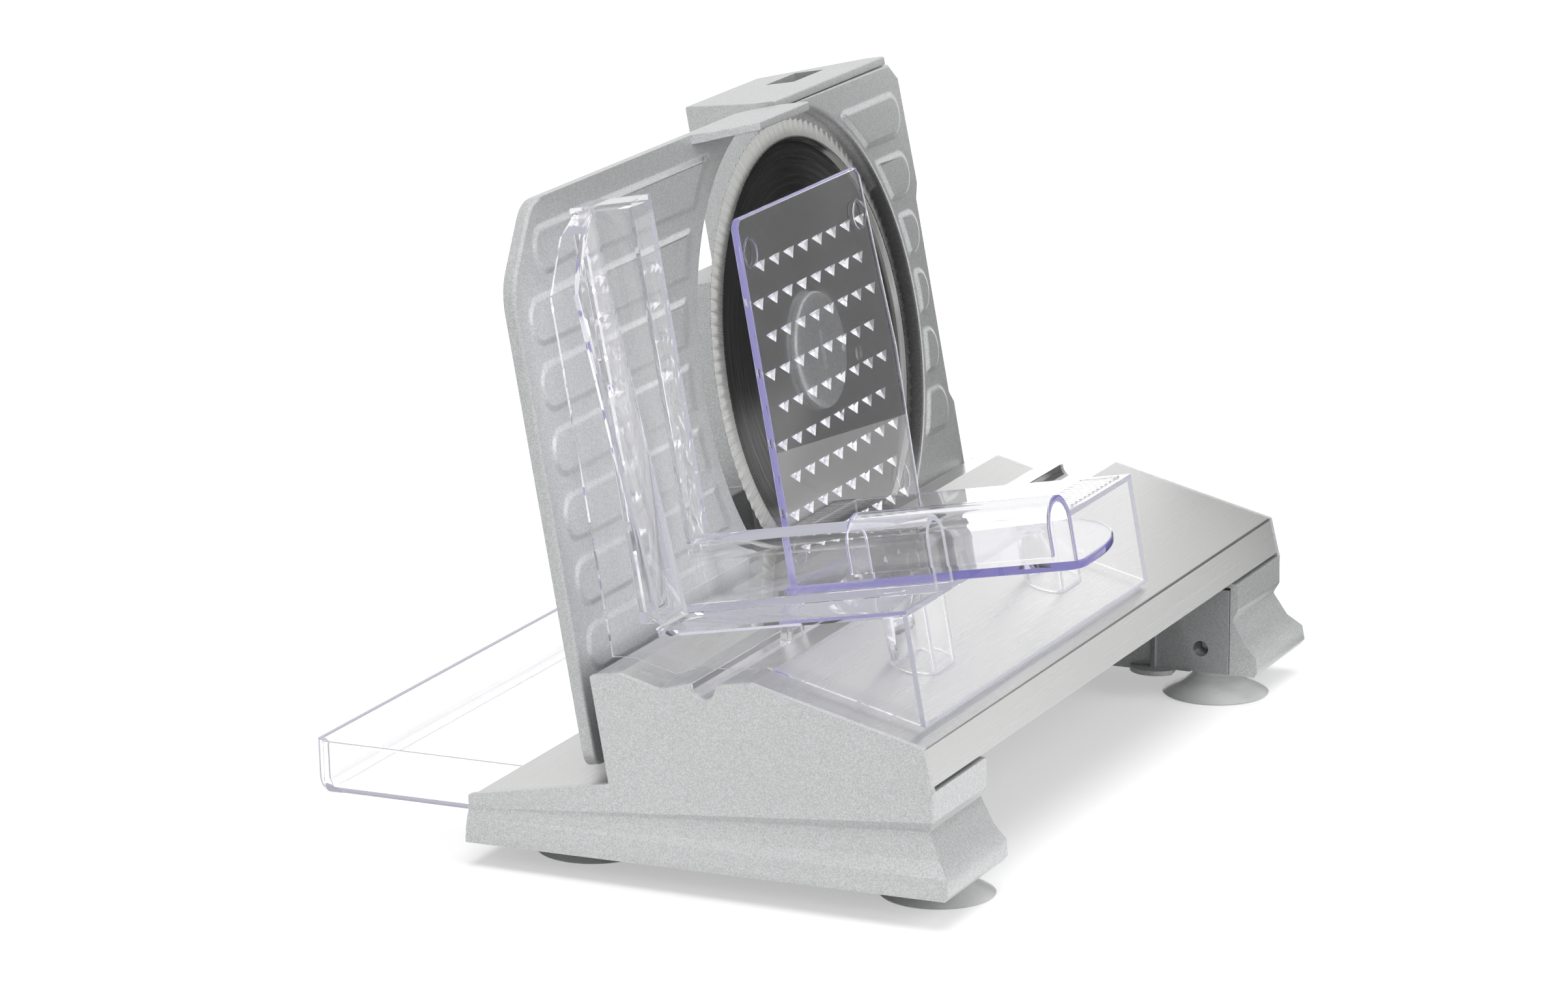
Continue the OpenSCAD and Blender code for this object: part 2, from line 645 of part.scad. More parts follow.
// Sleeve bearing in the panel's hub
module front_bush() color([0.75, 0.6, 0.35]) leaning() difference() {
    pin_y(blade_x, 0, floor_o, panel_back + 9, bush_r, $fn = 64);
    pin_y(blade_x, 0, floor_o - 1, panel_back + 10, shaft_r + run_fit, $fn = 64);
}

// Sleeve bearing in the housing's rear wall
module rear_bush() color([0.75, 0.6, 0.35]) leaning() difference() {
    pin_y(blade_x, 0, housing_back - 9, housing_back, bush_r, $fn = 64);
    pin_y(blade_x, 0, housing_back - 10, housing_back - 1 + 0.4, shaft_r + run_fit, $fn = 64);
}

// Blade

// Round blade: ground bevel ring, stepped dish and scalloped cutting edge
module blade() color(steel) leaning() translate([blade_x, 0, 0]) rotate([-90, 0, 0]) difference() {
    tooth = 360 / blade_teeth;
    intersection() {
        rotate_extrude($fn = 180) polygon([[shaft_r, 2], [24, 2], [28, 1.4], [blade_r - 10, 1.4],
            [blade_r - 8.5, -0.8], [blade_r - 7, -0.8], [blade_r + 0.5, 0.5], [blade_r + 0.5, 0.9],
            [blade_r - 8, 1.4], [blade_r - 12, 2.6], [28, 2.6], [24, 3.2], [shaft_r, 3.2]]);
        translate([0, 0, -3]) linear_extrude(8) polygon([for (i = [0:blade_teeth - 1])
            let (a = tooth * i) each [for (p = [[-0.5, 0], [-0.25, -0.95], [0, -1.25], [0.25, -0.95]])
                (blade_r + p[1]) * [cos(a + p[0] * tooth), sin(a + p[0] * tooth)]]]);
    }
    rotate([0, 0, pin_hole_angle]) translate([pin_hole_at, 0, -2]) cylinder(h = 6, r = pin_hole_r);
}

// Round hub cover that locks the blade to its shaft, with a finger slot
module blade_lock() color(steel) leaning() translate([blade_x, 0, 0]) rotate([-90, 0, 0]) difference() {
    rotate_extrude($fn = 96) polygon([[0, -1.4], [20, -1.4], [23.5, -0.9], [24, 0], [24, 2], [0, 2]]);
    translate([-1, -8, -2]) cube([2, 16, 1.6]);
    translate([20, 3, -3]) cylinder(h = 4, r = 2.2);
}

// Thickness plate and its drive

// Outline of the plate in (x, s), with a hollow edge round the blade
module plate_outline() difference() {
    polygon(concat(
        bend([plate_left, 0], [plate_left, plate_bottom], [0, plate_bottom], 7),
        [[gear_left - 1, plate_bottom], [gear_left - 1, -50],
         [blade_x - 20, -50], [blade_x - 20, plate_top]],
        bend([0, plate_top], plate_corner, plate_shoulder, 8),
        bend(plate_corner, plate_shoulder, [plate_left, 0], 9)));
    translate([blade_x, 0]) circle(plate_gap_r, $fn = 128);
}

// Points of a smooth bend from a to b in place of the corner at p, starting w away from it
function bend(a, p, b, w, n = 6) =
    [for (i = [0:n]) let (t = i / n)
        p + w * (1 - t) * (1 - t) * (a - p) / norm(a - p) + w * t * t * (b - p) / norm(b - p)];

// Silver plate with embossed bands, and a shelf over the top of the blade
module thickness_plate() color(silver) leaning() {
    o = plate_o();
    along_y(o, o + plate_skin) plate_outline();
    along_y(o + plate_skin - eps, o + plate_t) difference() {
        plate_outline();
        polygon([[plate_left + 2.5, plate_bottom + 7], [plate_left + 7, plate_bottom + 2.5],
            [blade_x - 60, plate_bottom + 2.5], [blade_x - 110, -40], [blade_x - 110, 40],
            [blade_x - 58, plate_top - 3], [plate_left + 29.5, plate_top - 2.5],
            [plate_left + 3.5, 74]]);
    }
    for (i = [-4:3]) along_y(o - 1, o + 0.5) difference() {
        round_bar(plate_left + (i == 3 ? 31 : 18), blade_x - 20, 8 + 25 * i, 17);
        translate([blade_x, 0]) circle(plate_gap_r + 9, $fn = 96);
        translate([blade_x - 60 - 12, plate_bottom]) square([80, 60]);
    }
    translate([0, 0, plate_top - 3.6]) linear_extrude(3.6) polygon([
        [blade_x - 62, o + plate_t], [blade_x - 74, o], [blade_x - 70, o - 7], [blade_x - 56, o - 22],
        [box_left - 1.5, o - 22], [box_left - 0.8, o - 8], [box_left - 8, o + 1], [blade_x - 20, o + plate_t]]);
    for (side = [-1, 1]) difference() {
        pin_y(drive_x + side * rod_pitch / 2, drive_s, o + plate_skin - 0.5, o + plate_t, rod_r + 3);
        pin_y(drive_x + side * rod_pitch / 2, drive_s, o + plate_skin, o + plate_t + 4, rod_r);
    }
}

// Two rods that keep the plate square as it moves
module guide_rods() color(steel) leaning() for (side = [-1, 1])
    pin_y(drive_x + side * rod_pitch / 2, drive_s, plate_o() + plate_skin, wing_front + 9.5, rod_r);

// Sleeves of the two guide rods
module rod_bushes() color([0.75, 0.6, 0.35]) leaning() for (side = [-1, 1]) difference() {
    pin_y(drive_x + side * rod_pitch / 2, drive_s, wing_front, wing_front + 6, rod_r + 2);
    pin_y(drive_x + side * rod_pitch / 2, drive_s, wing_front - 1, wing_front + 7, rod_r + run_fit);
}

// Two-start section of the coarse screw, larger by g all round
function screw_ring(g) = [for (a = [0:22.5:337.5])
    (spindle_r - screw_depth + screw_depth * cos(2 * a) + g) * [cos(a), sin(a)]];

// A stretch of the screw along Y, always in step with the spindle, larger by g
module screw(y0, y1, g) translate([0, y0, 0]) rotate([-90, 0, 0])
    rotate([0, 0, -360 * (y0 - thread_front) / spindle_lead])
        linear_extrude(y1 - y0, twist = 360 * (y1 - y0) / spindle_lead,
            slices = ceil(24 * (y1 - y0) / spindle_lead)) polygon(screw_ring(g));

// Nut tube on the back of the plate, threaded over its last stretch
module thickness_nut() color(dark_grey) leaning() translate([drive_x, 0, drive_s]) difference() {
    translate([0, plate_o() + plate_skin, 0]) rotate([-90, 0, 0])
        cylinder(h = nut_back - plate_o() - plate_skin, r = nut_r);
    translate([0, plate_o() + plate_skin - 1, 0]) rotate([-90, 0, 0])
        cylinder(h = nut_back - nut_l - plate_o() - plate_skin + 1, r = spindle_r + 1.6);
    screw(nut_back - nut_l - 0.5, nut_back + 0.5, 0.3);
}

// Spindle with the coarse screw that moves the plate
module thickness_spindle() color(steel) leaning() translate([drive_x, 0, drive_s]) {
    screw(thread_front, thread_back, 0);
    translate([0, thread_back - eps, 0]) rotate([-90, 0, 0])
        cylinder(h = housing_back + 12 - thread_back, r = spindle_r - 1);
}

// Sleeve of the spindle in the wing's rear wall
module spindle_bush() color([0.75, 0.6, 0.35]) leaning() difference() {
    pin_y(drive_x, drive_s, housing_back - 5, housing_back, spindle_r + 2);
    pin_y(drive_x, drive_s, housing_back - 6, housing_back + 1, spindle_r - 1 + run_fit);
}

// Ribbed thickness knob with a pointer
module thickness_knob() color(dark_grey) leaning() translate([drive_x, housing_back + 0.6, drive_s])
    rotate([-90, 0, 0]) difference() {
        union() {
            cylinder(h = 5, r = knob_d / 2);
            linear_extrude(18) difference() {
                circle(knob_d / 2 - 3, $fn = 64);
                for (a = [0:30:330]) rotate([0, 0, a]) translate([knob_d / 2 - 1, 0]) circle(3.2, $fn = 20);
            }
            translate([-1, knob_d / 2 - 9, 17]) cube([2, 6, 1.8]);
        }
        translate([0, 0, -1]) cylinder(h = 13, r = spindle_r - 1);
    }

// Carriage

// Line of the deck as the carriage's lower edge follows it, in the blade frame, back to front
function under_pts(front_o) = [for (p = [
    [deck_back_y - plateau_w, plateau_h], [dip_y, dip_z], [groove_y + 8, groove_z + 0.4],
    [groove_y - 8, groove_z + 1.2], [ridge_y, ridge_z]])
    let (y = p[0], z = p[1] + deck_gap)
        [(y - blade_y) * cos(lean) - (z - blade_h) * sin(lean), frame_s(y, z)]];
// Height of the front slope under a point of the blade frame, with the gap g
function slope_s(o, g) = let (t = tan(lean), k = slope,
    z0 = ridge_z + g - k * (ridge_y - blade_y) - blade_h)
    (z0 + o * (sin(lean) + k * cos(lean))) / (cos(lean) - k * sin(lean));

// Lower edge of a skirt from its rear edge to its front edge
function skirt_line() = concat([[car_back, frame_s(deck_back_y, deck_back_z) + deck_gap + 1]],
    under_pts(car_front), [[car_front, slope_s(car_front, deck_gap)]]);

// Near side of the carriage: skirt below the ledge and thumb guard beside the plate
module near_side() {
    along_x(car_x, car_x + clear_wall) polygon(concat(skirt_line(),
        [[car_front, table_s], [-30.7, table_s], [-20.7, crease_s], [car_back - 0.5, crease_s]]));
    guard_sheet();
}

// The thumb guard's upper part, which leans in over the pocket
module guard_sheet() loft([
    [[car_x, car_back - 0.5, crease_s], [car_x, -20.7, crease_s],
     [car_x + clear_wall, -20.7, crease_s], [car_x + clear_wall, car_back - 0.5, crease_s]],
    [[wall_x - 14, car_back - 1, upright_top - 9], [wall_x - 14, -19.5, upright_top - 9],
     [wall_x - 11, -19.5, upright_top - 9], [wall_x - 11, car_back - 1, upright_top - 9]],
    [[wall_x - 1, car_back - 3, upright_top - 1], [wall_x - 1, -18.5, upright_top - 1],
     [wall_x + 1, -18.5, upright_top - 3.5], [wall_x + 1, car_back - 3, upright_top - 3.5]]]);

// Side of the pocket next to the plate, from the near side to the guide wall
module pocket_side() loft([
    [[car_x, -30.7, table_s], [wall_x + 1, -28.4, table_s],
     [wall_x + 1, -28.4 + clear_wall, table_s], [car_x, -30.7 + clear_wall, table_s]],
    [[car_x, -20.7, crease_s], [wall_x + 1, -19.5, crease_s],
     [wall_x + 1, -19.5 + clear_wall, crease_s], [car_x, -20.7 + clear_wall, crease_s]],
    [[wall_x - 1, -18.5, upright_top - 1], [wall_x + 1, -18.5, upright_top - 1],
     [wall_x + 1, -18.5 + clear_wall, upright_top - 1], [wall_x - 1, -18.5 + clear_wall, upright_top - 1]]]);

// Arch of the guide wall in (x, s), with its foot at the table
module wall_arch(r) {
    translate([rail_mid, rail_axis_s]) circle(r, $fn = 64);
    translate([rail_mid - r, table_under - 1]) square([2 * r, rail_axis_s - table_under + 1]);
}

// Hollow guide wall: rail along the front, and upright beside the plate
module guide_wall() {
    up_front = -34.5;
    difference() {
        union() {
            along_y(car_front, car_back - 10) difference() {
                wall_arch(rail_r);
                translate([rail_mid - 20, table_under - 5]) square([40, 5]);
            }
            translate([wall_x, up_front, table_under])
                cube([wall_w, car_back - up_front, upright_top - table_under]);
        }
        along_y(car_front - 1, up_front + clear_wall + 0.1) difference() {
            wall_arch(rail_r - clear_wall);
            translate([rail_mid - 20, table_under - 9]) square([40, 8]);
        }
        translate([wall_x + clear_wall, up_front + clear_wall, table_under - 1])
            cube([wall_w - 2 * clear_wall, car_back - up_front - 2 * clear_wall,
                upright_top - table_under - clear_wall + 1]);
    }
}

// A hollow oval post that slides on the deck's slope
module post(x, o) {
    foot_s = slope_s(o, 0) + slide_gap;
    module oval(w, d) for (side = [-1, 1]) {
        translate([x + side * (w - d) / 2, o]) circle(d / 2, $fn = 32);
        translate([x - (w - d) / 2, o - d / 2]) square([w - d, d]);
    }
    difference() {
        translate([0, 0, foot_s - 6]) linear_extrude(table_under - foot_s + 6.5) oval(post_wide, post_deep);
        translate([0, 0, foot_s - 7]) linear_extrude(table_under - foot_s + 7)
            oval(post_wide - 2 * post_wall, post_deep - 2 * post_wall);
        along_x(x - post_wide, x + post_wide) polygon([
            [o - 30, slope_s(o - 30, slide_gap)], [o + 30, slope_s(o + 30, slide_gap)],
            [o + 30, foot_s - 30], [o - 30, foot_s - 30]]);
    }
}

// Clear carriage: near side, ledge, hollow guide wall, food table, skirts and posts
module carriage() color(clear) leaning() {
    near_side();
    pocket_side();
    guide_wall();
    translate([car_x, car_front, table_under]) cube([pocket_w + 0.5, -car_front - 28.4, clear_wall]);
    translate([food_x - 0.5, car_front, table_under])
        cube([car_end - food_x + 0.5, carriage_depth, clear_wall]);
    along_x(car_end - clear_wall, car_end) polygon(concat(skirt_line(),
        [[car_front, table_s - 0.2], [car_back, table_s - 0.2]]));
    along_x(car_x, car_end) polygon([[car_front, slope_s(car_front, deck_gap)],
        [car_front, table_under + 0.5], [car_front + clear_wall, table_under + 0.5],
        [car_front + clear_wall, slope_s(car_front + clear_wall, deck_gap)]]);
    post(post_x1, post_o);
    post(post_x2, post_o);
    for (i = [0:11]) translate([car_end - 58 + i * 4.6, car_front + 3, table_s - 0.3])
        cube([2.2, 16, 1]);
}

// Two tongues that hang in the deck's groove and keep the carriage straight
module carriage_guides() color(clear) {
    tongue_z = groove_z - groove_r + slide_gap + 0.8;
    for (x = [car_x + 62, car_end - 40]) translate([x, groove_y - 2.6, tongue_z])
        cube([12, 5.2, world_z(frame_o(groove_y + 2.6, table_under), table_under) - tongue_z - 0.05]);
}
function frame_o(y, s) = (y - blade_y - s * sin(lean)) / cos(lean);

// Pusher

// Outline of the pusher's plate in (x, s), its upper corners cut by r
module pusher_plate(r) polygon([[push_x, push_bottom], [push_x + pusher_w + 1, push_bottom],
    [push_x + pusher_w + 3, push_bottom + 70], [push_x + pusher_w - 5, push_bottom + pusher_h - r],
    [push_x + pusher_w - 5 - r, push_bottom + pusher_h], [push_x + r, push_bottom + pusher_h],
    [push_x, push_bottom + pusher_h - r]]);

// Clear pusher: spiked plate, hand flange and the hood that rides on the rail
module pusher() color(clear) leaning() {
    along_y(push_front, push_rear) pusher_plate(3);
    for (row = [0:8], col = [0:7]) {
        x = push_x + 12 + col * spike_pitch + (row % 2 == 0 ? spike_pitch / 2 : 0);
        if (x < push_x + pusher_w - 6)
            translate([x, push_rear - 0.1, push_bottom + 14 + row * spike_pitch]) rotate([-90, 30, 0])
                cylinder(h = spike_l + 0.1, r1 = spike_r, r2 = 0.2, $fn = 3);
    }
    flange();
    hood();
}

// Hand flange of the pusher, flat on the table, with a round front
module flange() translate([0, 0, push_bottom]) linear_extrude(flange_t) {
    near = food_x + slide_gap;
    far = push_x + pusher_w + 1;
    polygon(concat([[near, push_rear], [near, flange_front + 6], [near + 2, flange_front + 1.5],
        [near + 6, flange_front]],
        [for (a = [0:15:90]) [near + 14 + 74 * sin(a), flange_front + 52 - 52 * cos(a)]],
        [[far - 6, push_front - 30], [far, push_front], [far, push_rear]]));
}

// Hood of the pusher, an arch over the carriage's rail with a short near leg
module hood() {
    near_leg = -51;
    inner_r = rail_r + slide_gap;
    along_y(hood_front, hood_rear) {
        difference() {
            union() {
                translate([rail_mid, rail_axis_s]) circle(hood_r, $fn = 64);
                translate([rail_mid - hood_r, near_leg]) square([hood_r, rail_axis_s - near_leg]);
                translate([rail_mid, push_bottom]) square([hood_r, rail_axis_s - push_bottom]);
            }
            translate([rail_mid, rail_axis_s]) circle(inner_r, $fn = 64);
            translate([rail_mid - inner_r, push_bottom - 1]) square([2 * inner_r, rail_axis_s - push_bottom + 1]);
            translate([rail_mid - hood_r - 1, push_bottom - 1]) square([hood_r, near_leg - push_bottom + 1]);
        }
    }
}

// Outer form of the tray drawn in by w, wider towards its rim
module tray_form(w) {
    profile = [[tray_taper, tray_floor_z], [1.2, tray_floor_z + 1.7], [0.4, tray_floor_z + 5],
        [0, tray_floor_z + tray_h]];
    c = tray_corner;
    loft([for (p = profile)
        let (g = p[0] + w, x = tray_l / 2 - g, y0 = tray_back_y - tray_depth + g, y1 = tray_back_y - g)
        [for (q = [[-x + c, y0], [x - c, y0], [x, y0 + c], [x, y1 - c], [x - c, y1], [-x + c, y1],
            [-x, y1 - c], [-x, y0 + c]]) [q[0], q[1], p[1]]]]);
}

// Catch tray, clear and open above
module catch_tray() color(clear) difference() {
    tray_form(0);
    translate([0, 0, tray_wall]) tray_form(tray_wall);
}

deck_plate();
rear_deck_plate();
base_frame();
left_foot();
right_foot();
left_foot_cover();
right_foot_cover();
foot_screws();
front_left_cup();
front_right_cup();
rear_left_cup();
rear_right_cup();
housing_panel();
motor_housing();
housing_screws();
cord_inlet();
switch_body();
power_switch();
motor_can();
motor_clamp();
motor_armature();
worm_shaft();
worm_bush();
worm_gear();
blade_shaft();
front_bush();
rear_bush();
blade();
blade_lock();
thickness_plate();
guide_rods();
rod_bushes();
thickness_nut();
thickness_spindle();
spindle_bush();
thickness_knob();
carriage();
carriage_guides();
pusher();
catch_tray();
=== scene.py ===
"""Finishes and fine forms of an electric food slicer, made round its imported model.

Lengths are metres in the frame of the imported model: X along the carriage slide, Y away from the
operator, Z up. Much of the machine leans back, so those pieces are drawn in the blade's own frame:
x along the slide, o straight back from the cutting edge, s up along the blade's plane."""
import json
import math

import bmesh
import bpy
from bpy.props import FloatProperty, FloatVectorProperty, IntProperty, PointerProperty
from mathutils import Matrix, Vector
from mathutils.bvhtree import BVHTree
from mathutils.geometry import tessellate_polygon


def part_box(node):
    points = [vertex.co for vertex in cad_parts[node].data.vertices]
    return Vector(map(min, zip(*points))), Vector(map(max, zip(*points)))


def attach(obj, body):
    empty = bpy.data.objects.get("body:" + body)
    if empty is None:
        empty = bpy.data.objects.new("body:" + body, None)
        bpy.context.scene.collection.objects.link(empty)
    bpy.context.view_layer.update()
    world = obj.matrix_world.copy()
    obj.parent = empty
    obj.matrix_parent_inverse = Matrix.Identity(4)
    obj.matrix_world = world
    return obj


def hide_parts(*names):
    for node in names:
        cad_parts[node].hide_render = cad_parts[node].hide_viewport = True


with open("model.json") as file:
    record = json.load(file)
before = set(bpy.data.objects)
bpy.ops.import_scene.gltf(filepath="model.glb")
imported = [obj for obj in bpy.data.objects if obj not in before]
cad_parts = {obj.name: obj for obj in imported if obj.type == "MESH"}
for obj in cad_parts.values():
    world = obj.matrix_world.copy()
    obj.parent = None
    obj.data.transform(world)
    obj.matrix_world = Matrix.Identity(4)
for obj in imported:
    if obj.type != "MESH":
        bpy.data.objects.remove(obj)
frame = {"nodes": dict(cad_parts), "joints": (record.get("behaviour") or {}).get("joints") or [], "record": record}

bl_info = {
    "name": "Electric food slicer",
    "version": (1, 0, 0),
    "blender": (4, 5, 0),
    "location": "3D View > Sidebar > Slicer",
    "description": "Finishes and fine forms of an electric food slicer",
    "category": "Object",
}

MM = 0.001
NODES = frame["nodes"]
JOINTS = {joint["name"]: joint for joint in frame["joints"]}
BODIES = frame["record"]["behaviour"]["bodies"]
BODY = {node: body for body, nodes in BODIES.items() for node in nodes}
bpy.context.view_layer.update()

# The blade's frame, from the joint that the blade turns on
HUB = Vector(JOINTS["blade_spin"]["pos_m"])
BACK = Vector(JOINTS["blade_spin"]["axis"]).normalized()
UP = Vector((1, 0, 0)).cross(BACK)
ORIGIN = Vector((0, HUB.y, HUB.z))
# Turns a form drawn round Z so that its Z points straight back
BLADE_AXES = Matrix((Vector((1, 0, 0)), -UP, BACK)).transposed().to_4x4()


def place(x, o, s):
    """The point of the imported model's frame for a point of the blade's frame."""
    return ORIGIN + Vector((x, 0, 0)) + BACK * o + UP * s


def local(point):
    """The point of the blade's frame, as (x, o, s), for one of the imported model's frame."""
    away = Vector(point) - ORIGIN
    return Vector((away.x, away.dot(BACK), away.dot(UP)))


def sizes():
    """The form sizes that the sidebar shows."""
    return bpy.context.scene.slicer_forms


def finishes():
    """The colours that the sidebar shows."""
    return bpy.context.scene.slicer_finishes


class SlicerForms(bpy.types.PropertyGroup):
    """Sizes of the rounds and reliefs that soften the machine's edges."""

    casting_round: FloatProperty(
        name="Casting round", description="Round along the edges of the silver and grey mouldings",
        default=0.7 * MM, min=0.1 * MM, max=2 * MM, unit="LENGTH", precision=5)
    sheet_round: FloatProperty(
        name="Sheet round", description="Round along the folds and edges of the steel decks",
        default=0.35 * MM, min=0.05 * MM, max=0.45 * MM, unit="LENGTH", precision=5)
    bend_round: FloatProperty(
        name="Bend round", description="Radius of the folds of the upper deck",
        default=1.5 * MM, min=0.3 * MM, max=3 * MM, unit="LENGTH", precision=5)
    clear_round: FloatProperty(
        name="Clear round", description="Round along the edges of the clear mouldings",
        default=0.55 * MM, min=0.1 * MM, max=1 * MM, unit="LENGTH", precision=5)
    face_round: FloatProperty(
        name="Face round", description="Round of the rims of the thickness plate and the front panel",
        default=1.3 * MM, min=0.3 * MM, max=2 * MM, unit="LENGTH", precision=5)
    pad_roll: FloatProperty(
        name="Pad roll", description="Width over which a raised pad rises from its panel",
        default=3.2 * MM, min=1 * MM, max=5 * MM, unit="LENGTH", precision=5)
    pad_slope: FloatProperty(
        name="Pad slope", description="Width over which a pad rises at its end by the blade",
        default=9 * MM, min=3 * MM, max=14 * MM, unit="LENGTH", precision=5)
    scallop_depth: FloatProperty(
        name="Scallop depth", description="Depth of the scallops in the blade's cutting edge",
        default=1.0 * MM, min=0.2 * MM, max=2 * MM, unit="LENGTH", precision=5)
    scallops: IntProperty(
        name="Scallops", description="Number of scallops round the blade", default=120, min=60, max=180)


class SlicerFinishes(bpy.types.PropertyGroup):
    """Colours of the machine's materials."""

    silver: FloatVectorProperty(
        name="Silver moulding", description="Metallic paint of the feet",
        subtype="COLOR", default=(0.58, 0.585, 0.59), min=0, max=1)
    # The feet's silver paint made darker for the plate, panel and housing: painted shade
    panel: FloatVectorProperty(
        name="Silver panels",
        description="Metallic paint of the thickness plate, the front panel and the motor housing",
        subtype="COLOR", default=(0.52, 0.525, 0.53), min=0, max=1)
    steel: FloatVectorProperty(
        name="Deck steel", description="Brushed stainless sheet of the decks",
        subtype="COLOR", default=(0.6, 0.6, 0.595), min=0, max=1)
    blade: FloatVectorProperty(
        name="Blade steel", description="Ground and turned steel of the blade",
        subtype="COLOR", default=(0.42, 0.42, 0.415), min=0, max=1)
    bevel: FloatVectorProperty(
        name="Bevel steel", description="Ground steel of the blade's bevel",
        subtype="COLOR", default=(0.62, 0.62, 0.61), min=0, max=1)
    dark_grey: FloatVectorProperty(
        name="Dark grey moulding", description="Inner covers, bridge and knob",
        subtype="COLOR", default=(0.38, 0.385, 0.39), min=0, max=1)
    cup: FloatVectorProperty(
        name="Cup rubber", description="Pale rubber of the suction cups",
        subtype="COLOR", default=(0.9, 0.91, 0.9), min=0, max=1)
    clear: FloatVectorProperty(
        name="Clear moulding", description="Tint that builds up along the length of the clear plastic",
        subtype="COLOR", default=(0.6, 0.57, 0.84), min=0, max=1)
    floor: FloatVectorProperty(
        name="Floor", description="Pale floor under the machine",
        subtype="COLOR", default=(0.62, 0.62, 0.62), min=0, max=1)


# Shader building


def feed(tree, value, socket):
    """Links an output to a socket, or sets the socket to a value."""
    if isinstance(value, bpy.types.NodeSocket):
        tree.links.new(value, socket)
    else:
        socket.default_value = value


def add(tree, kind, **inputs):
    """A shader node with values or links on its input sockets, named with underscores for spaces."""
    made = tree.nodes.new(kind)
    for name, value in inputs.items():
        feed(tree, value, made.inputs[name.replace("_", " ")])
    return made


def group(name, ins, outs):
    """An empty shader node group with named float, colour and vector sockets."""
    kinds = {"F": "NodeSocketFloat", "C": "NodeSocketColor", "V": "NodeSocketVector"}
    tree = bpy.data.node_groups.new(name, "ShaderNodeTree")
    for title, kind, value in ins:
        made = tree.interface.new_socket(name=title, in_out="INPUT", socket_type=kinds[kind])
        made.default_value = value
    for title, kind in outs:
        tree.interface.new_socket(name=title, in_out="OUTPUT", socket_type=kinds[kind])
    return tree, tree.nodes.new("NodeGroupInput"), tree.nodes.new("NodeGroupOutput")


def math_node(tree, operation, a, b):
    """A maths node on two values, each a number or a socket."""
    made = tree.nodes.new("ShaderNodeMath")
    made.operation = operation
    for socket, value in zip(made.inputs, (a, b)):
        feed(tree, value, socket)
    return made.outputs[0]


def ramp(tree, value, stops):
    """A colour ramp over a value, its stops (position, grey)."""
    made = tree.nodes.new("ShaderNodeValToRGB")
    while len(made.color_ramp.elements) < len(stops):
        made.color_ramp.elements.new(0.5)
    for element, (position, grey) in zip(made.color_ramp.elements, stops):
        element.position = position
        element.color = (grey, grey, grey, 1)
    tree.links.new(value, made.inputs["Fac"])
    return made.outputs["Color"]


def scaled_colour(tree, colour, factor):
    """A colour multiplied by a grey value."""
    mix = tree.nodes.new("ShaderNodeMix")
    mix.data_type = "RGBA"
    mix.blend_type = "MULTIPLY"
    mix.inputs["Factor"].default_value = 1
    tree.links.new(colour, mix.inputs["A"])
    tree.links.new(factor, mix.inputs["B"])
    return mix.outputs["Result"]


def swing(tree, value, reach):
    """A value between 0 and 1 turned into one that swings to both sides of 0."""
    return math_node(tree, "MULTIPLY", math_node(tree, "SUBTRACT", value, 0.5), reach)


def shaded(tree, colour, fine, broad):
    """A colour made lighter and darker by two values that swing to both sides of 0."""
    shade = math_node(tree, "ADD", math_node(tree, "ADD", fine, broad), 1)
    grey = tree.nodes.new("ShaderNodeCombineColor")
    for channel in grey.inputs:
        tree.links.new(shade, channel)
    return scaled_colour(tree, colour, grey.outputs[0])


def grain_group():
    """Fine moulded grain with metal flakes: a colour, a roughness and a height."""
    if "moulded_grain" in bpy.data.node_groups:
        return bpy.data.node_groups["moulded_grain"]
    tree, given, out = group(
        "moulded_grain",
        [("Colour", "C", (0.5, 0.5, 0.5, 1)), ("Grain size", "F", 1500), ("Flake", "F", 0.1),
         ("Roughness", "F", 0.4), ("Handling", "F", 0.05)],
        [("Colour", "C"), ("Roughness", "F"), ("Height", "F")])
    size = given.outputs["Grain size"]
    where = tree.nodes.new("ShaderNodeTexCoord").outputs["Object"]
    grain = add(tree, "ShaderNodeTexNoise", Vector=where, Scale=size, Detail=3, Roughness=0.6)
    flakes = add(tree, "ShaderNodeTexVoronoi", Vector=where, Randomness=1,
                 Scale=math_node(tree, "MULTIPLY", size, 1.1))
    speck = add(tree, "ShaderNodeSeparateColor", Color=flakes.outputs["Color"]).outputs["Red"]
    broad = add(tree, "ShaderNodeTexNoise", Vector=where, Scale=14, Detail=4).outputs["Fac"]
    colour = shaded(tree, given.outputs["Colour"], swing(tree, speck, given.outputs["Flake"]),
                    swing(tree, broad, 0.1))
    tree.links.new(colour, out.inputs["Colour"])
    smudge = swing(tree, broad, given.outputs["Handling"])
    tree.links.new(math_node(tree, "ADD", given.outputs["Roughness"], smudge), out.inputs["Roughness"])
    tree.links.new(grain.outputs["Fac"], out.inputs["Height"])
    return tree


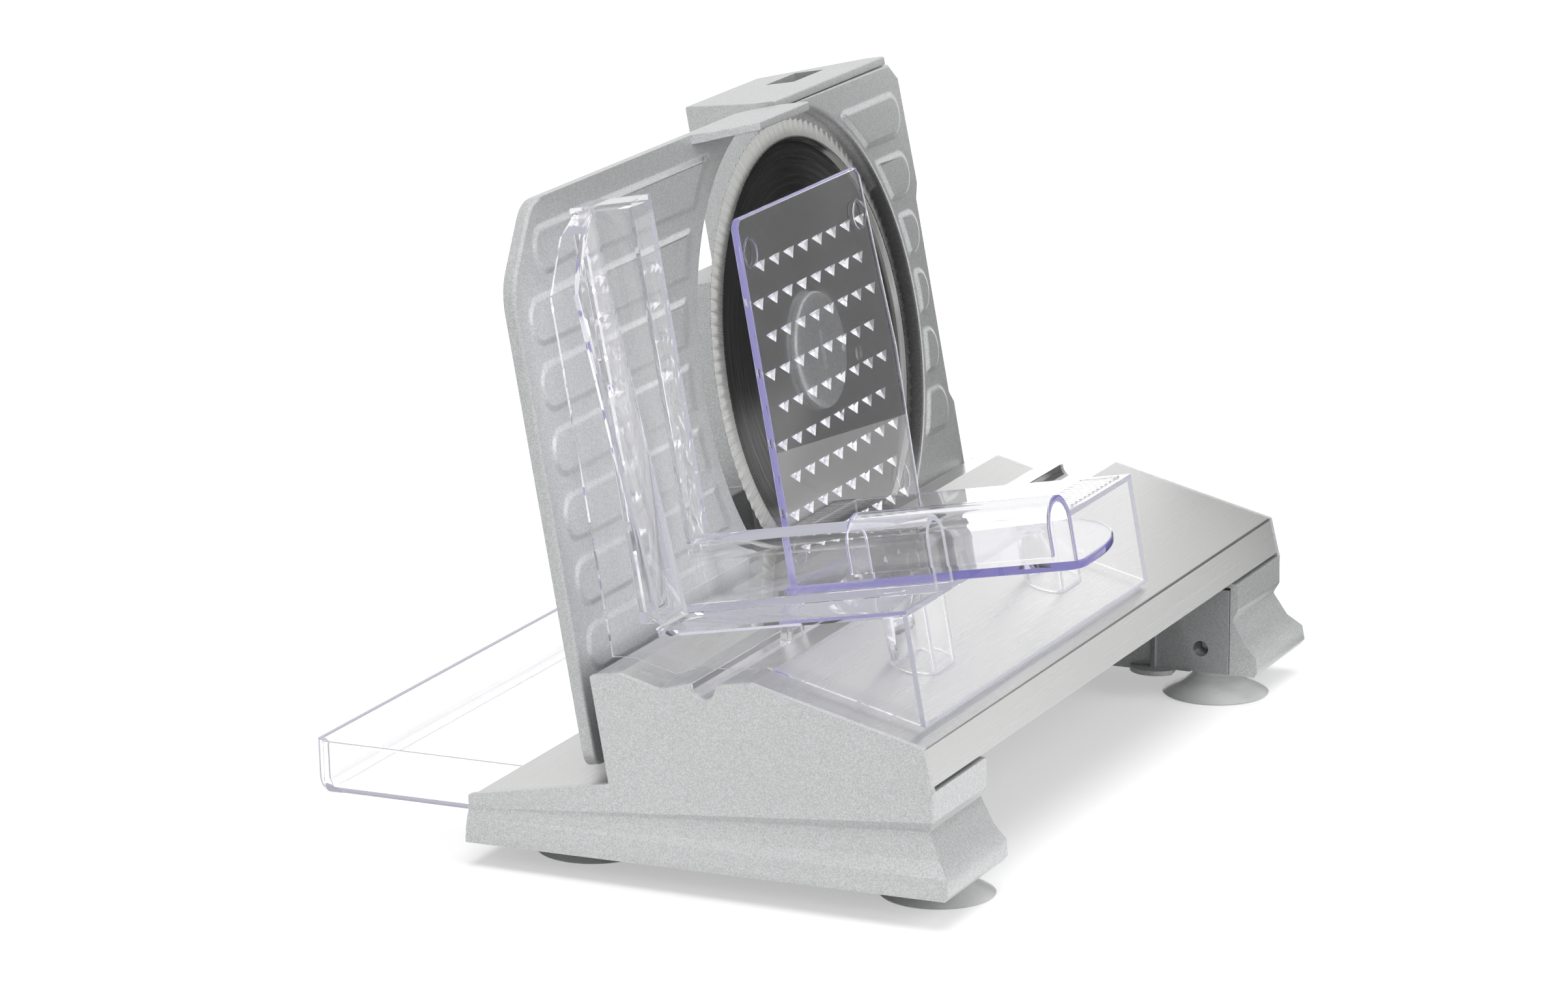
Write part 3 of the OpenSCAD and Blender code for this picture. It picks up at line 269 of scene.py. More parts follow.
def brushed_group():
    """Long fine scratches along one direction: a colour, a roughness and a height."""
    if "brushed_lines" in bpy.data.node_groups:
        return bpy.data.node_groups["brushed_lines"]
    tree, given, out = group(
        "brushed_lines",
        [("Colour", "C", (0.7, 0.7, 0.7, 1)), ("Stretch", "V", (12, 900, 900)), ("Contrast", "F", 0.08),
         ("Roughness", "F", 0.3)],
        [("Colour", "C"), ("Roughness", "F"), ("Height", "F")])
    where = tree.nodes.new("ShaderNodeTexCoord").outputs["Object"]
    stretched = tree.nodes.new("ShaderNodeVectorMath")
    stretched.operation = "MULTIPLY"
    tree.links.new(where, stretched.inputs[0])
    tree.links.new(given.outputs["Stretch"], stretched.inputs[1])
    lines = add(tree, "ShaderNodeTexNoise", Vector=stretched.outputs[0], Scale=1, Detail=6,
                Roughness=0.65).outputs["Fac"]
    broad = add(tree, "ShaderNodeTexNoise", Vector=where, Scale=6, Detail=3).outputs["Fac"]
    colour = shaded(tree, given.outputs["Colour"], swing(tree, lines, given.outputs["Contrast"]),
                    swing(tree, broad, 0.08))
    tree.links.new(colour, out.inputs["Colour"])
    rough = math_node(tree, "ADD", given.outputs["Roughness"], swing(tree, lines, 0.25))
    tree.links.new(rough, out.inputs["Roughness"])
    tree.links.new(lines, out.inputs["Height"])
    return tree


def opaque(colour):
    """A colour with full alpha, from one or from the name of one that the sidebar shows."""
    return (*(getattr(finishes(), colour) if isinstance(colour, str) else colour), 1)


def principled(name, values):
    """A material with its Principled BSDF, the values set on the shader's own sockets."""
    material = bpy.data.materials.new(name)
    material.use_nodes = True
    tree = material.node_tree
    shader = tree.nodes["Principled BSDF"]
    for socket, value in values.items():
        shader.inputs[socket].default_value = value
    return material, tree, shader


def effect_node(tree, made, values):
    """A node of a shared group, with its values."""
    effect = tree.nodes.new("ShaderNodeGroup")
    effect.node_tree = made
    for name, value in values.items():
        effect.inputs[name].default_value = value
    return effect


# Each finish has its colour, the values of its shared group, the strength and depth in mm of its bump,
# and the values that its shader has besides
PAINT = {"Metallic": 0.45, "Coat Weight": 0.05, "Coat Roughness": 0.3}
GRAIN_VALUES = ("Grain size", "Flake", "Roughness", "Handling")
GRAINED = {
    "silver_paint": ("silver", (2300, 0.34, 0.36, 0.06), (0.25, 0.12), PAINT),
    # The same silver paint as the feet, darker: painted shade
    "silver_panel": ("panel", (2300, 0.34, 0.36, 0.06), (0.25, 0.12), PAINT),
    "dark_moulding": ("dark_grey", (1700, 0.25, 0.46, 0.08), (0.3, 0.12), {"Metallic": 0.25}),
    # The recess wall's silver, which gets painted shade towards the right
    "recess_moulding": ((0.5, 0.5, 0.505), (1900, 0.4, 0.42, 0.08), (0.3, 0.12), {"Metallic": 0.3}),
    "black_moulding": ((0.012, 0.012, 0.013), (1800, 0.1, 0.42, 0.1), (0.15, 0.1),
                       {"Specular IOR Level": 0.25}),
    "pale_rubber": ("cup", (500, 0.03, 0.32, 0.12), (0.08, 0.1),
                    {"Subsurface Weight": 0.5, "Subsurface Scale": 0.015, "Subsurface Radius": (1, 1, 0.95),
                     "Transmission Weight": 0.15, "IOR": 1.41}),
    "hub_steel": ((0.42, 0.43, 0.43), (1100, 0.3, 0.36, 0.25), (0.1, 0.1), {"Metallic": 0.9}),
    "sintered_bronze": ((0.56, 0.4, 0.2), (1500, 0.35, 0.4, 0.1), (0.3, 0.1), {"Metallic": 0.9}),
    "natural_nylon": ((0.8, 0.77, 0.66), (900, 0.05, 0.38, 0.08), (0.1, 0.1),
                      {"Subsurface Weight": 0.2, "Subsurface Scale": 0.003}),
}
BRUSHED_VALUES = ("Stretch", "Contrast", "Roughness")
BRUSHED = {
    "brushed_sheet": ("steel", ((9, 1500, 1500), 0.16, 0.3), (0.12, 0.06), {"Metallic": 0.9}),
    "machined_steel": ((0.62, 0.62, 0.63), ((900, 900, 900), 0.2, 0.25), (0.15, 0.05), {"Metallic": 1}),
    "enamelled_copper": ((0.55, 0.22, 0.08), ((500, 500, 60), 0.5, 0.35), (0.5, 0.2),
                         {"Metallic": 0.8, "Coat Weight": 0.5, "Coat Roughness": 0.15}),
}
# Steel with polar lines: colour, lines across the radius and round the circle, contrast, roughness, rotation
POLAR = {
    "turned_steel": ("blade", 750, 1.2, 0.5, 0.15, 0.25),
    "bevel_steel": ("bevel", 60, 230, 0.35, 0.22, 0),
}
# Clear plastic: the tint of its depth, and the colour of a painted glow that stands in for light caught inside it
CLEAR = {
    "clear_moulding": ((0.84, 0.84, 0.9), (0.5, 0.5, 0.56)),
    "violet_moulding": ("clear", (0.33, 0.31, 0.56)),
}


def textured(name):
    """A grained or brushed finish."""
    table, names, made = (GRAINED, GRAIN_VALUES, grain_group()) if name in GRAINED else (
        BRUSHED, BRUSHED_VALUES, brushed_group())
    colour, values, (strength, depth), others = table[name]
    material, tree, shader = principled(name, others)
    effect = effect_node(tree, made, dict(zip(names, values), Colour=opaque(colour)))
    tree.links.new(effect.outputs["Colour"], shader.inputs["Base Color"])
    tree.links.new(effect.outputs["Roughness"], shader.inputs["Roughness"])
    bump = add(tree, "ShaderNodeBump", Height=effect.outputs["Height"], Strength=strength,
               Distance=depth * MM)
    tree.links.new(bump.outputs["Normal"], shader.inputs["Normal"])
    return material


def recess_moulding(name):
    """Wall of the recess round the blade, silver at the top, with painted shade that darkens it towards the right,
    where the wall lies in shadow beside the blade.
    """
    material = textured(name)
    tree = material.node_tree
    base = tree.nodes["Principled BSDF"].inputs["Base Color"]
    where = tree.nodes.new("ShaderNodeTexCoord").outputs["Object"]
    split = add(tree, "ShaderNodeSeparateXYZ", Vector=where)
    # Painted shade: the wall's colour is darkened to about a quarter towards +X
    painted_shade = ramp(tree, math_node(tree, "MULTIPLY", split.outputs["X"], 5), [(0.6, 1), (0.74, 0.26)])
    tree.links.new(scaled_colour(tree, base.links[0].from_socket, painted_shade), base)
    return material


def clear_moulding(name):
    """Clear plastic whose tint shows along its edges, where light goes the long way, with a painted glow of a set
    colour where rays have reflected inside it more than three times.
    """
    tint, glow_colour = CLEAR[name]
    material, tree, shader = principled(name, {
        "Base Color": opaque((1, 1, 1)), "Transmission Weight": 1, "IOR": 1.49, "Specular IOR Level": 0.5})
    effect = effect_node(tree, grain_group(), {"Grain size": 90, "Roughness": 0.012, "Handling": 0.015})
    tree.links.new(effect.outputs["Roughness"], shader.inputs["Roughness"])
    path = tree.nodes.new("ShaderNodeLightPath")
    # Painted glow: a ray past three glossy bounces ends on an emission of the set colour
    late = math_node(tree, "GREATER_THAN", path.outputs["Glossy Depth"], 3.5)
    painted_glow = add(tree, "ShaderNodeEmission", Color=opaque(glow_colour))
    through = add(tree, "ShaderNodeBsdfTransparent", Color=(0.93, 0.93, 0.95, 1))
    deep, mix = (tree.nodes.new("ShaderNodeMixShader") for _ in range(2))
    out = tree.nodes["Material Output"]
    for source, socket in (
            (late, deep.inputs["Fac"]), (shader.outputs[0], deep.inputs[1]),
            (painted_glow.outputs[0], deep.inputs[2]), (path.outputs["Is Shadow Ray"], mix.inputs["Fac"]),
            (deep.outputs[0], mix.inputs[1]), (through.outputs[0], mix.inputs[2]),
            (mix.outputs[0], out.inputs["Surface"])):
        tree.links.new(source, socket)
    volume = add(tree, "ShaderNodeVolumeAbsorption", Color=opaque(tint), Density=12)
    tree.links.new(volume.outputs[0], out.inputs["Volume"])
    return material


def polar_steel(name):
    """Steel with fine lines that run round the blade's axis, or out from it."""
    colour, across, along, contrast, roughness, rotation = POLAR[name]
    material, tree, shader = principled(name, {
        "Metallic": 1, "Anisotropic": 0.8, "Anisotropic Rotation": rotation})
    where = tree.nodes.new("ShaderNodeTexCoord").outputs["Object"]
    split = add(tree, "ShaderNodeSeparateXYZ", Vector=where)
    squares = [math_node(tree, "MULTIPLY", split.outputs[i], split.outputs[i]) for i in (0, 1)]
    radius = math_node(tree, "SQRT", math_node(tree, "ADD", *squares), 0)
    angle = math_node(tree, "ARCTAN2", split.outputs["Y"], split.outputs["X"])
    polar = add(tree, "ShaderNodeCombineXYZ", X=math_node(tree, "MULTIPLY", radius, across),
                Y=math_node(tree, "MULTIPLY", angle, along))
    lines = add(tree, "ShaderNodeTexNoise", Vector=polar.outputs[0], Scale=1, Detail=8,
                Roughness=0.75).outputs["Fac"]
    base = tree.nodes.new("ShaderNodeRGB")
    base.outputs[0].default_value = opaque(colour)
    streak = ramp(tree, lines, [(0.32, 1 - contrast), (0.68, 1)])
    tree.links.new(scaled_colour(tree, base.outputs[0], streak), shader.inputs["Base Color"])
    rough = math_node(tree, "ADD", math_node(tree, "MULTIPLY", lines, 0.1), roughness)
    tree.links.new(rough, shader.inputs["Roughness"])
    bump = add(tree, "ShaderNodeBump", Strength=0.15, Distance=0.05 * MM, Height=lines)
    tree.links.new(bump.outputs["Normal"], shader.inputs["Normal"])
    tangent = tree.nodes.new("ShaderNodeTangent")
    tangent.direction_type = "RADIAL"
    tangent.axis = "Z"
    tree.links.new(tangent.outputs[0], shader.inputs["Tangent"])
    return material


def finish(name):
    """The material of that name, made once."""
    maker = (clear_moulding if name in CLEAR else polar_steel if name in POLAR
             else recess_moulding if name == "recess_moulding" else textured)
    return bpy.data.materials.get(name) or maker(name)


# Mesh building

SAME = 0.002 * MM  # points closer than this are one
LEVEL = 0.01 * MM  # depths closer than this are one
EASE_TRIES = 4
SHELF_FROM = 90 * MM  # the thickness plate's shelf starts at this height s


def cad_mesh(node):
    """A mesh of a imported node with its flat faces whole."""
    bm = bmesh.new()
    bm.from_mesh(NODES[node].data)
    bmesh.ops.remove_doubles(bm, verts=bm.verts, dist=SAME)
    bmesh.ops.dissolve_limit(bm, angle_limit=math.radians(0.6), use_dissolve_boundaries=False,
                             verts=bm.verts, edges=bm.edges)
    return bm


def crumpled(bm):
    """Faces whose triangles overlap, left by a bevel that found no room."""
    found = {}
    for loops in bm.calc_loop_triangles():
        a, b, c = (loop.vert.co for loop in loops)
        area = (b - a).cross(c - a) / 2
        whole, total = found.get(loops[0].face, (Vector(), 0))
        found[loops[0].face] = (whole + area, total + area.length)
    return [f for f, (whole, total) in found.items()
            if total - whole.length > 0.003 * total + 0.01 * MM * MM]


def outer_edges(bm):
    """Edges between faces that no other part of the mesh stands in front of."""
    tree = BVHTree.FromBMesh(bm)
    outer = {f for f in bm.faces
             if tree.ray_cast(f.calc_center_median() + f.normal * 0.05 * MM, f.normal)[0] is None}
    return {e for e in bm.edges if all(f in outer for f in e.link_faces)}


def ease(bm, width, segments=2, corner=24, only=None):
    """Rounds the edges that turn by more than corner degrees and pass a test, where there is room."""
    crowded = set()
    for _ in range(EASE_TRIES):
        trial = bm.copy()
        bm.faces.index_update()
        trial.edges.ensure_lookup_table()
        sharp = [trial.edges[i] for i, e in enumerate(bm.edges) if len(e.link_faces) == 2
                 and e.calc_face_angle(0) > math.radians(corner) and e.calc_length() > 2.2 * width
                 and (only is None or only(e)) and not any(f.index in crowded for f in e.link_faces)]
        bmesh.ops.bevel(trial, geom=sharp, offset=width, segments=segments, profile=0.5, affect="EDGES",
                        clamp_overlap=False, loop_slide=True)
        bad = crumpled(trial)
        spots = [(f.calc_center_median(), f.normal.copy()) for f in bad]
        for spot, normal in spots:
            near = [f for f in bm.faces if f.normal.dot(normal) > 0.98
                    and abs((f.calc_center_median() - spot).dot(f.normal)) < 0.3 * MM]
            near = near or list(bm.faces)
            crowded.add(min(near, key=lambda f: (f.calc_center_median() - spot).length).index)
        done = bpy.data.meshes.new("eased")
        trial.to_mesh(done)
        trial.free()
        if not spots:
            break
    bm.clear()
    bm.from_mesh(done)
    bpy.data.meshes.remove(done)


def put(name, bm):
    """A new object in the scene, with the mesh that was built."""
    mesh = bpy.data.meshes.new(name)
    bm.to_mesh(mesh)
    bm.free()
    made = bpy.data.objects.new(name, mesh)
    bpy.context.scene.collection.objects.link(made)
    return made


def piece(name, bm, material, nodes, corner=32, at=None):
    """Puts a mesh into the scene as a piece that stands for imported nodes, riding on their body."""
    made = put(name, bm)
    made.data.materials.append(material)
    made.data.shade_smooth()
    made.data.set_sharp_from_angle(angle=math.radians(corner))
    if at:
        made.matrix_world = at
    weigh = made.modifiers.new("flat_faces", "WEIGHTED_NORMAL")
    weigh.keep_sharp = True
    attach(made, BODY[nodes[0]])
    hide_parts(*nodes)
    return made


def soften(node, name, material, width, segments=2, outer=False):
    """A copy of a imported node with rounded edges, or rounded outer edges alone, which stands for it."""
    bm = cad_mesh(node)
    ease(bm, width, segments, only=outer_edges(bm).__contains__ if outer else None)
    return piece(name, bm, finish(material), [node])


def paint(material, *nodes):
    """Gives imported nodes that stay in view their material."""
    for node in nodes:
        slots = NODES[node].data.materials
        slots.clear()
        slots.append(finish(material))


def combine(parts, operation="UNION"):
    """One mesh from closed ones, the first joined with the others or cut by them."""
    solids = []
    for k, bm in enumerate(parts):
        seal(bm)
        solids.append(put(f"raw_{k}", bm))
    for other in solids[1:]:
        step = solids[0].modifiers.new("combine", "BOOLEAN")
        step.operation, step.solver, step.object = operation, "EXACT", other
    bpy.context.view_layer.update()
    done = bmesh.new()
    done.from_object(solids[0], bpy.context.evaluated_depsgraph_get())
    for solid in solids:
        mesh = solid.data
        bpy.data.objects.remove(solid)
        bpy.data.meshes.remove(mesh)
    return done


def turned(bm, profile, steps, at=Matrix.Identity(4), flute=None, closed=True):
    """Adds a form of revolution round Z from a profile of (radius, height) points.

    A closed profile makes a ring; an open one gets a flat disc at either end."""
    rings = []
    for radius, height in profile:
        ring = []
        for i in range(steps):
            angle = 2 * math.pi * i / steps
            r, z = flute(radius, height, angle) if flute else (radius, height)
            ring.append(bm.verts.new(at @ Vector((r * math.cos(angle), r * math.sin(angle), z))))
        rings.append(ring)
    join_rings(bm, rings + rings[:1] if closed else rings)
    if not closed:
        bm.faces.new(rings[0])
        bm.faces.new(rings[-1])


# Flat outlines, as lists of 2D points


def signed_area(loop):
    """Area of a loop, positive when it runs counter-clockwise."""
    return sum(a.x * b.y - b.x * a.y for a, b in zip(loop, loop[1:] + loop[:1])) / 2


def counter_clockwise(loop):
    """The loop, turned round if it runs clockwise."""
    return loop if signed_area(loop) > 0 else loop[::-1]


def rounded(loop, radius, steps=5, corner=20):
    """The loop with its corners rounded."""
    out = []
    for before, here, after in zip(loop[-1:] + loop[:-1], loop, loop[1:] + loop[:1]):
        a, b = before - here, after - here
        turn = math.pi - a.angle(b)
        if turn < math.radians(corner):
            out.append(here)
            continue
        cut = min(radius * math.tan(turn / 2), 0.45 * a.length, 0.45 * b.length)
        start, end = here + a.normalized() * cut, here + b.normalized() * cut
        for k in range(steps + 1):
            t = k / steps
            out.append(start * (1 - t) ** 2 + here * 2 * t * (1 - t) + end * t ** 2)
    return out


def inset(loop, distance):
    """A counter-clockwise loop moved inwards, by one distance or by one for each of its points."""
    out = []
    for i, here in enumerate(loop):
        one, two = (here - loop[i - 1]).normalized(), (loop[(i + 1) % len(loop)] - here).normalized()
        n1, n2 = Vector((-one.y, one.x)), Vector((-two.y, two.x))
        away = distance[i] if isinstance(distance, list) else distance
        out.append(here + (n1 + n2) * away / max(1 + n1.dot(n2), 0.3))
    return out


def leaning(point, depth):
    """The place of an (x, s) point of an outline in the blade's frame, at a depth o."""
    return place(point.x, depth, point.y)


def sideways(point, depth):
    """The place of a (y, z) point of an outline seen from the side, at a depth along X."""
    return Vector((depth, point.x, point.y))


def level(point, depth):
    """The place of an (x, o) point of an outline that lies flat on the food table, at a height s."""
    return place(point.x, point.y, depth)


def endless(items):
    """Pairs of neighbours round a closed list."""
    return zip(items, items[1:] + items[:1])


def outline(verts):
    """The (x, s) points of vertices in the blade's frame."""
    return [Vector((local(v.co).x, local(v.co).z)) for v in verts]


def loops_along(edges):
    """Closed loops of vertices along edges."""
    links = {}
    for edge in edges:
        a, b = edge.verts
        links.setdefault(a, []).append(b)
        links.setdefault(b, []).append(a)
    loops = []
    while links:
        start = next(iter(links))
        loop, here = [start], links[start].pop()
        links[here].remove(start)
        while here != start:
            loop.append(here)
            after = links[here].pop()
            links[after].remove(here)
            here = after
        links = {v: ends for v, ends in links.items() if ends}
        loops.append(loop)
    return loops


def flat_regions(node, facing):
    """Outlines of a node's flat faces that face one way in the blade's frame, by their depth o.

    Each depth gives a list of counter-clockwise loops of (x, s) points, the largest first."""
    bm = cad_mesh(node)
    found = {}
    for face in bm.faces:
        if face.normal.dot(BACK) * facing > 0.9995:
            depth = round(local(face.verts[0].co).y / MM, 2)
            found.setdefault(depth, set()).add(face)
    regions = {}
    for depth, faces in found.items():
        rim = [e for face in faces for e in face.edges if sum(f in faces for f in e.link_faces) == 1]
        loops = [counter_clockwise(outline(loop)) for loop in loops_along(rim)]
        regions[depth] = sorted(loops, key=lambda loop: -abs(signed_area(loop)))
    bm.free()
    return regions


def ring_at(bm, loop, depth, at=leaning):
    """Vertices of a loop at one depth, or at one depth for each of its points."""
    depths = depth if isinstance(depth, list) else [depth] * len(loop)
    return [bm.verts.new(at(p, d)) for p, d in zip(loop, depths)]


def join_rings(bm, rings):
    """Faces between rings of equal length, one after another."""
    for ring, after in zip(rings, rings[1:]):
        for (a, b), (c, d) in zip(endless(ring), endless(after)):
            bm.faces.new((a, b, d, c))


def cap(bm, outer, holes=()):
    """Flat triangles inside a ring and outside its holes."""
    rings = [outer, *holes]
    verts = [v for ring in rings for v in ring]
    for triangle in tessellate_polygon([[v.co for v in ring] for ring in rings]):
        corners = [verts[i] for i in triangle]
        if len(set(corners)) == 3:
            bm.faces.new(corners)


def rolled(bm, loop, depth, radius, towards, at=leaning, steps=4):
    """Rings of a rounded rim, from the side wall to the flat face at a depth."""
    radii = radius if isinstance(radius, list) else [radius] * len(loop)
    rings = []
    for k in range(steps + 1):
        a = math.pi / 2 * k / steps
        rings.append(ring_at(bm, inset(loop, [r * (1 - math.cos(a)) for r in radii]),
                             [depth + towards * r * (1 - math.sin(a)) for r in radii], at))
    join_rings(bm, rings)
    return rings


def slab(bm, loop, low, high, radius, at=leaning):
    """A closed plate between two depths with rounded rims."""
    front = rolled(bm, loop, low, radius, 1, at)
    back = rolled(bm, loop, high, radius, -1, at)
    join_rings(bm, [front[0], back[0]])
    cap(bm, front[-1])
    cap(bm, back[-1])


def raised_pad(bm, loop, depth, height, roll, slope, steps=8):
    """A pad that rises softly towards the operator, slowly at its +X end; returns its outermost ring."""
    rings = []
    right = max(p.x for p in loop)
    middle = (right + min(p.x for p in loop)) / 2
    for k in range(steps + 1):
        t = k / steps
        line = [Vector((p.x - (slope - roll) * t * max(0, (p.x - middle) / (right - middle)), p.y))
                for p in inset(loop, roll * (t - 0.5))]
        rings.append(ring_at(bm, line, depth - height * (3 * t * t - 2 * t ** 3)))
    join_rings(bm, rings)
    cap(bm, rings[-1])
    return rings[0]


def open_loops(bm, depth):
    """Loops of the open edges that lie at a depth, the longest first."""
    rim = [e for e in bm.edges
           if len(e.link_faces) == 1 and all(abs(local(v.co).y - depth) < LEVEL for v in e.verts)]
    return sorted(loops_along(rim), key=len, reverse=True)


def narrow(loop, most):
    """For each point of a loop, a radius of at most this that leaves room in its thin necks."""
    radii = []
    for i, here in enumerate(loop):
        way = (loop[(i + 1) % len(loop)] - loop[i - 1]).normalized()
        room = most
        for a, b in endless(loop):
            run = b - a
            if here in (a, b) or run.length < 1e-7 or run.normalized().dot(way) > -0.5:
                continue
            t = min(max((here - a).dot(run) / run.length_squared, 0), 1)
            room = min(room, 0.4 * (here - a - run * t).length)
        radii.append(room)
    return radii


def soft_front(bm, front, pads, pad_height, radius, slope):
    """Redraws a moulding's front face with a rounded rim and raised pads that swell from it."""
    flat = []
    for face in bm.faces:
        depths = [local(v.co).y for v in face.verts]
        within = max(depths) < front + LEVEL and min(depths) > front - pad_height - LEVEL
        if within and (abs(face.normal.dot(BACK)) > 0.99 or min(depths) < front - 0.5 * pad_height):
            flat.append(face)
    bmesh.ops.delete(bm, geom=flat, context="FACES")
    for k, verts in enumerate(open_loops(bm, front)):
        points = outline(verts)
        if signed_area(points) < 0:
            verts, points = verts[::-1], points[::-1]
        radii = [0 if any(local(w.co).y < front - 0.1 * MM for f in v.link_faces for w in f.verts) else r
                 for v, r in zip(verts, narrow(points, radius))]
        for vert, r in zip(verts, radii):
            vert.co += BACK * r
        rim = rolled(bm, points, front, radii, 1)
        cap(bm, rim[-1], [raised_pad(bm, pad, front, pad_height, sizes().pad_roll, slope) for pad in pads]
            if k == 0 else ())
    seal(bm)


def seal(bm):
    """Joins coincident vertices and turns every face outwards."""
    bmesh.ops.remove_doubles(bm, verts=bm.verts, dist=SAME)
    bmesh.ops.dissolve_degenerate(bm, edges=bm.edges, dist=SAME)
    bmesh.ops.recalc_face_normals(bm, faces=bm.faces)


# Pieces


# In mm: a foot's outer side, front and rear start here; its lip under the front band stands here
FOOT_SIDE_X, FOOT_FRONT_Y, FOOT_REAR_Y = 189.3, -124, 62.9
LIP_Z, LIP_OLD_Y, LIP_Y, LIP_OLD_X, LIP_X = 50.4, -126.5, -126.35, 190.2, 190.05
# Flutes of the feet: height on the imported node, the height drawn, and how far in and ahead it stands
FRONT_FLUTES = [(43.69, 39.1, 1.4, 0), (35.5, 35, 1.5, 0), (25.5, 25.3, 0, 2), (19.5, 19.8, 0, 2.1),
                (11, 13.6, 0, 1.6), (9, 11.6, 0, 1)]
REAR_FLUTES = [(21.69, 22.4, 0.4, 0), (20.5, 21.9, -0.1, 0), (13.2, 13.2, 1.3, 0), (11, 11, 1.5, 0),
               (9, 9, 1.2, 0)]
# The lower front edge of a foot's lining: where it starts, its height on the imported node, the height drawn
LINING_Y, LINING_OLD_Z, LINING_Z = -100, 10, 11.8


def flute_feet(bm):
    """Draws a foot's end wall flush down to its first flute, and the flutes round its front fuller."""
    for v in bm.verts:
        side, at = (1 if v.co.x > 0 else -1), v.co.copy() / MM
        if at.y < LIP_OLD_Y and abs(at.z - LIP_Z) < 0.05:
            v.co.y = LIP_Y * MM
            if abs(at.x) > LIP_OLD_X:
                v.co.x = side * LIP_X * MM
        for height, drawn, within, ahead in FRONT_FLUTES if at.y < 0 else REAR_FLUTES:
            if abs(at.z - height) < 0.05:
                v.co.z = drawn * MM
                if abs(at.x) > FOOT_SIDE_X:
                    v.co.x = side * (abs(at.x) - within) * MM
                if at.y < FOOT_FRONT_Y:
                    v.co.y = (at.y + within - ahead) * MM
                if at.y > FOOT_REAR_Y:
                    v.co.y = (at.y - within) * MM


class SLICER_OT_base_castings(bpy.types.Operator):
    """Adds the silver feet and their dark inner covers, with rounded edges"""

    bl_idname = "slicer.base_castings"
    bl_label = "Feet and inner covers"

    def execute(self, context):
        for side in ("left", "right"):
            bm = cad_mesh(f"{side}_foot")
            inner = min(abs(v.co.x) for v in bm.verts)
            ends = [f for f in bm.faces if all(abs(v.co.x) < inner + LEVEL for v in f.verts)]
            bmesh.ops.delete(bm, geom=ends, context="FACES")
            bmesh.ops.holes_fill(bm, edges=[e for e in bm.edges if len(e.link_faces) == 1])
            seal(bm)
            flute_feet(bm)
            ease(bm, sizes().casting_round, 3, 14, outer_edges(bm).__contains__)
            piece(f"{side}_foot_casing", bm, finish("silver_paint"), [f"{side}_foot"])
            bm = cad_mesh(f"{side}_foot_cover")
            for v in bm.verts:
                if v.co.y < LINING_Y * MM and abs(v.co.z - LINING_OLD_Z * MM) < 0.05 * MM:
                    v.co.z = LINING_Z * MM
            ease(bm, sizes().casting_round / 2, 2, 24, outer_edges(bm).__contains__)
            piece(f"{side}_foot_lining", bm, finish("dark_moulding"), [f"{side}_foot_cover"])
        paint("dark_moulding", "base_frame")
        paint("machined_steel", "foot_screws")
        return {"FINISHED"}


class SLICER_OT_decks(bpy.types.Operator):
    """Adds the brushed steel deck with its front band, and the low rear deck"""

    bl_idname = "slicer.decks"
    bl_label = "Steel decks"

    def execute(self, context):
        low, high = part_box("deck_plate")
        bm = cad_mesh("deck_plate")
        end = max((f for f in bm.faces if f.normal.x < -0.99), key=lambda f: f.calc_area())
        line = counter_clockwise([Vector((v.co.y, v.co.z)) for v in end.verts])
        bm.clear()
        slab(bm, rounded(line, sizes().bend_round, 6, 5), low.x, high.x, 0.1 * MM, sideways)
        seal(bm)
        piece("deck_sheet", bm, finish("brushed_sheet"), ["deck_plate"])
        soften("rear_deck_plate", "rear_deck_sheet", "brushed_sheet", sizes().sheet_round, 2)
        return {"FINISHED"}


class SLICER_OT_suction_cups(bpy.types.Operator):
    """Adds the four pale suction cups"""

    bl_idname = "slicer.suction_cups"
    bl_label = "Suction cups"

    def execute(self, context):
        paint("pale_rubber", "front_left_cup", "front_right_cup", "rear_left_cup", "rear_right_cup")
        return {"FINISHED"}


BLADE_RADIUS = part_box("blade")[1].x - HUB.x
BEVEL_RADIUS = BLADE_RADIUS - 8.3 * MM
RECESS_RADIUS = BLADE_RADIUS + 4.8 * MM
# The blade's section in mm: the front of its hub by radius, then the dish, the bevel and the back by the
# distance in from the edge, then the back of the hub by radius
HUB_FRONT = [(6.1, 2.0), (23.6, 2.0), (24.6, 1.85), (27.4, 1.5), (28.6, 1.4)]
DISH_AND_EDGE = [(40, 1.5), (20, 1.45), (10.6, 1.4), (9.6, 1.1), (9.0, 0.2), (8.6, -0.55), (8.2, -0.8),
                 (7.4, -0.8), (5, -0.38), (3, 0.0), (1.2, 0.32), (0, 0.55), (0, 0.8), (2, 1.05), (8, 1.4),
                 (12, 2.55), (20, 2.6)]
HUB_BACK = [(28, 2.6), (24, 3.2), (6.1, 3.2)]
SCALLOP_REACH = 3.4 * MM
# The drive pin's hole: its radius, its distance from the centre and its angle in degrees
PIN_HOLE, PIN_HOLE_AT, PIN_HOLE_ANGLE = 3.4 * MM, 40.6 * MM, 13.4


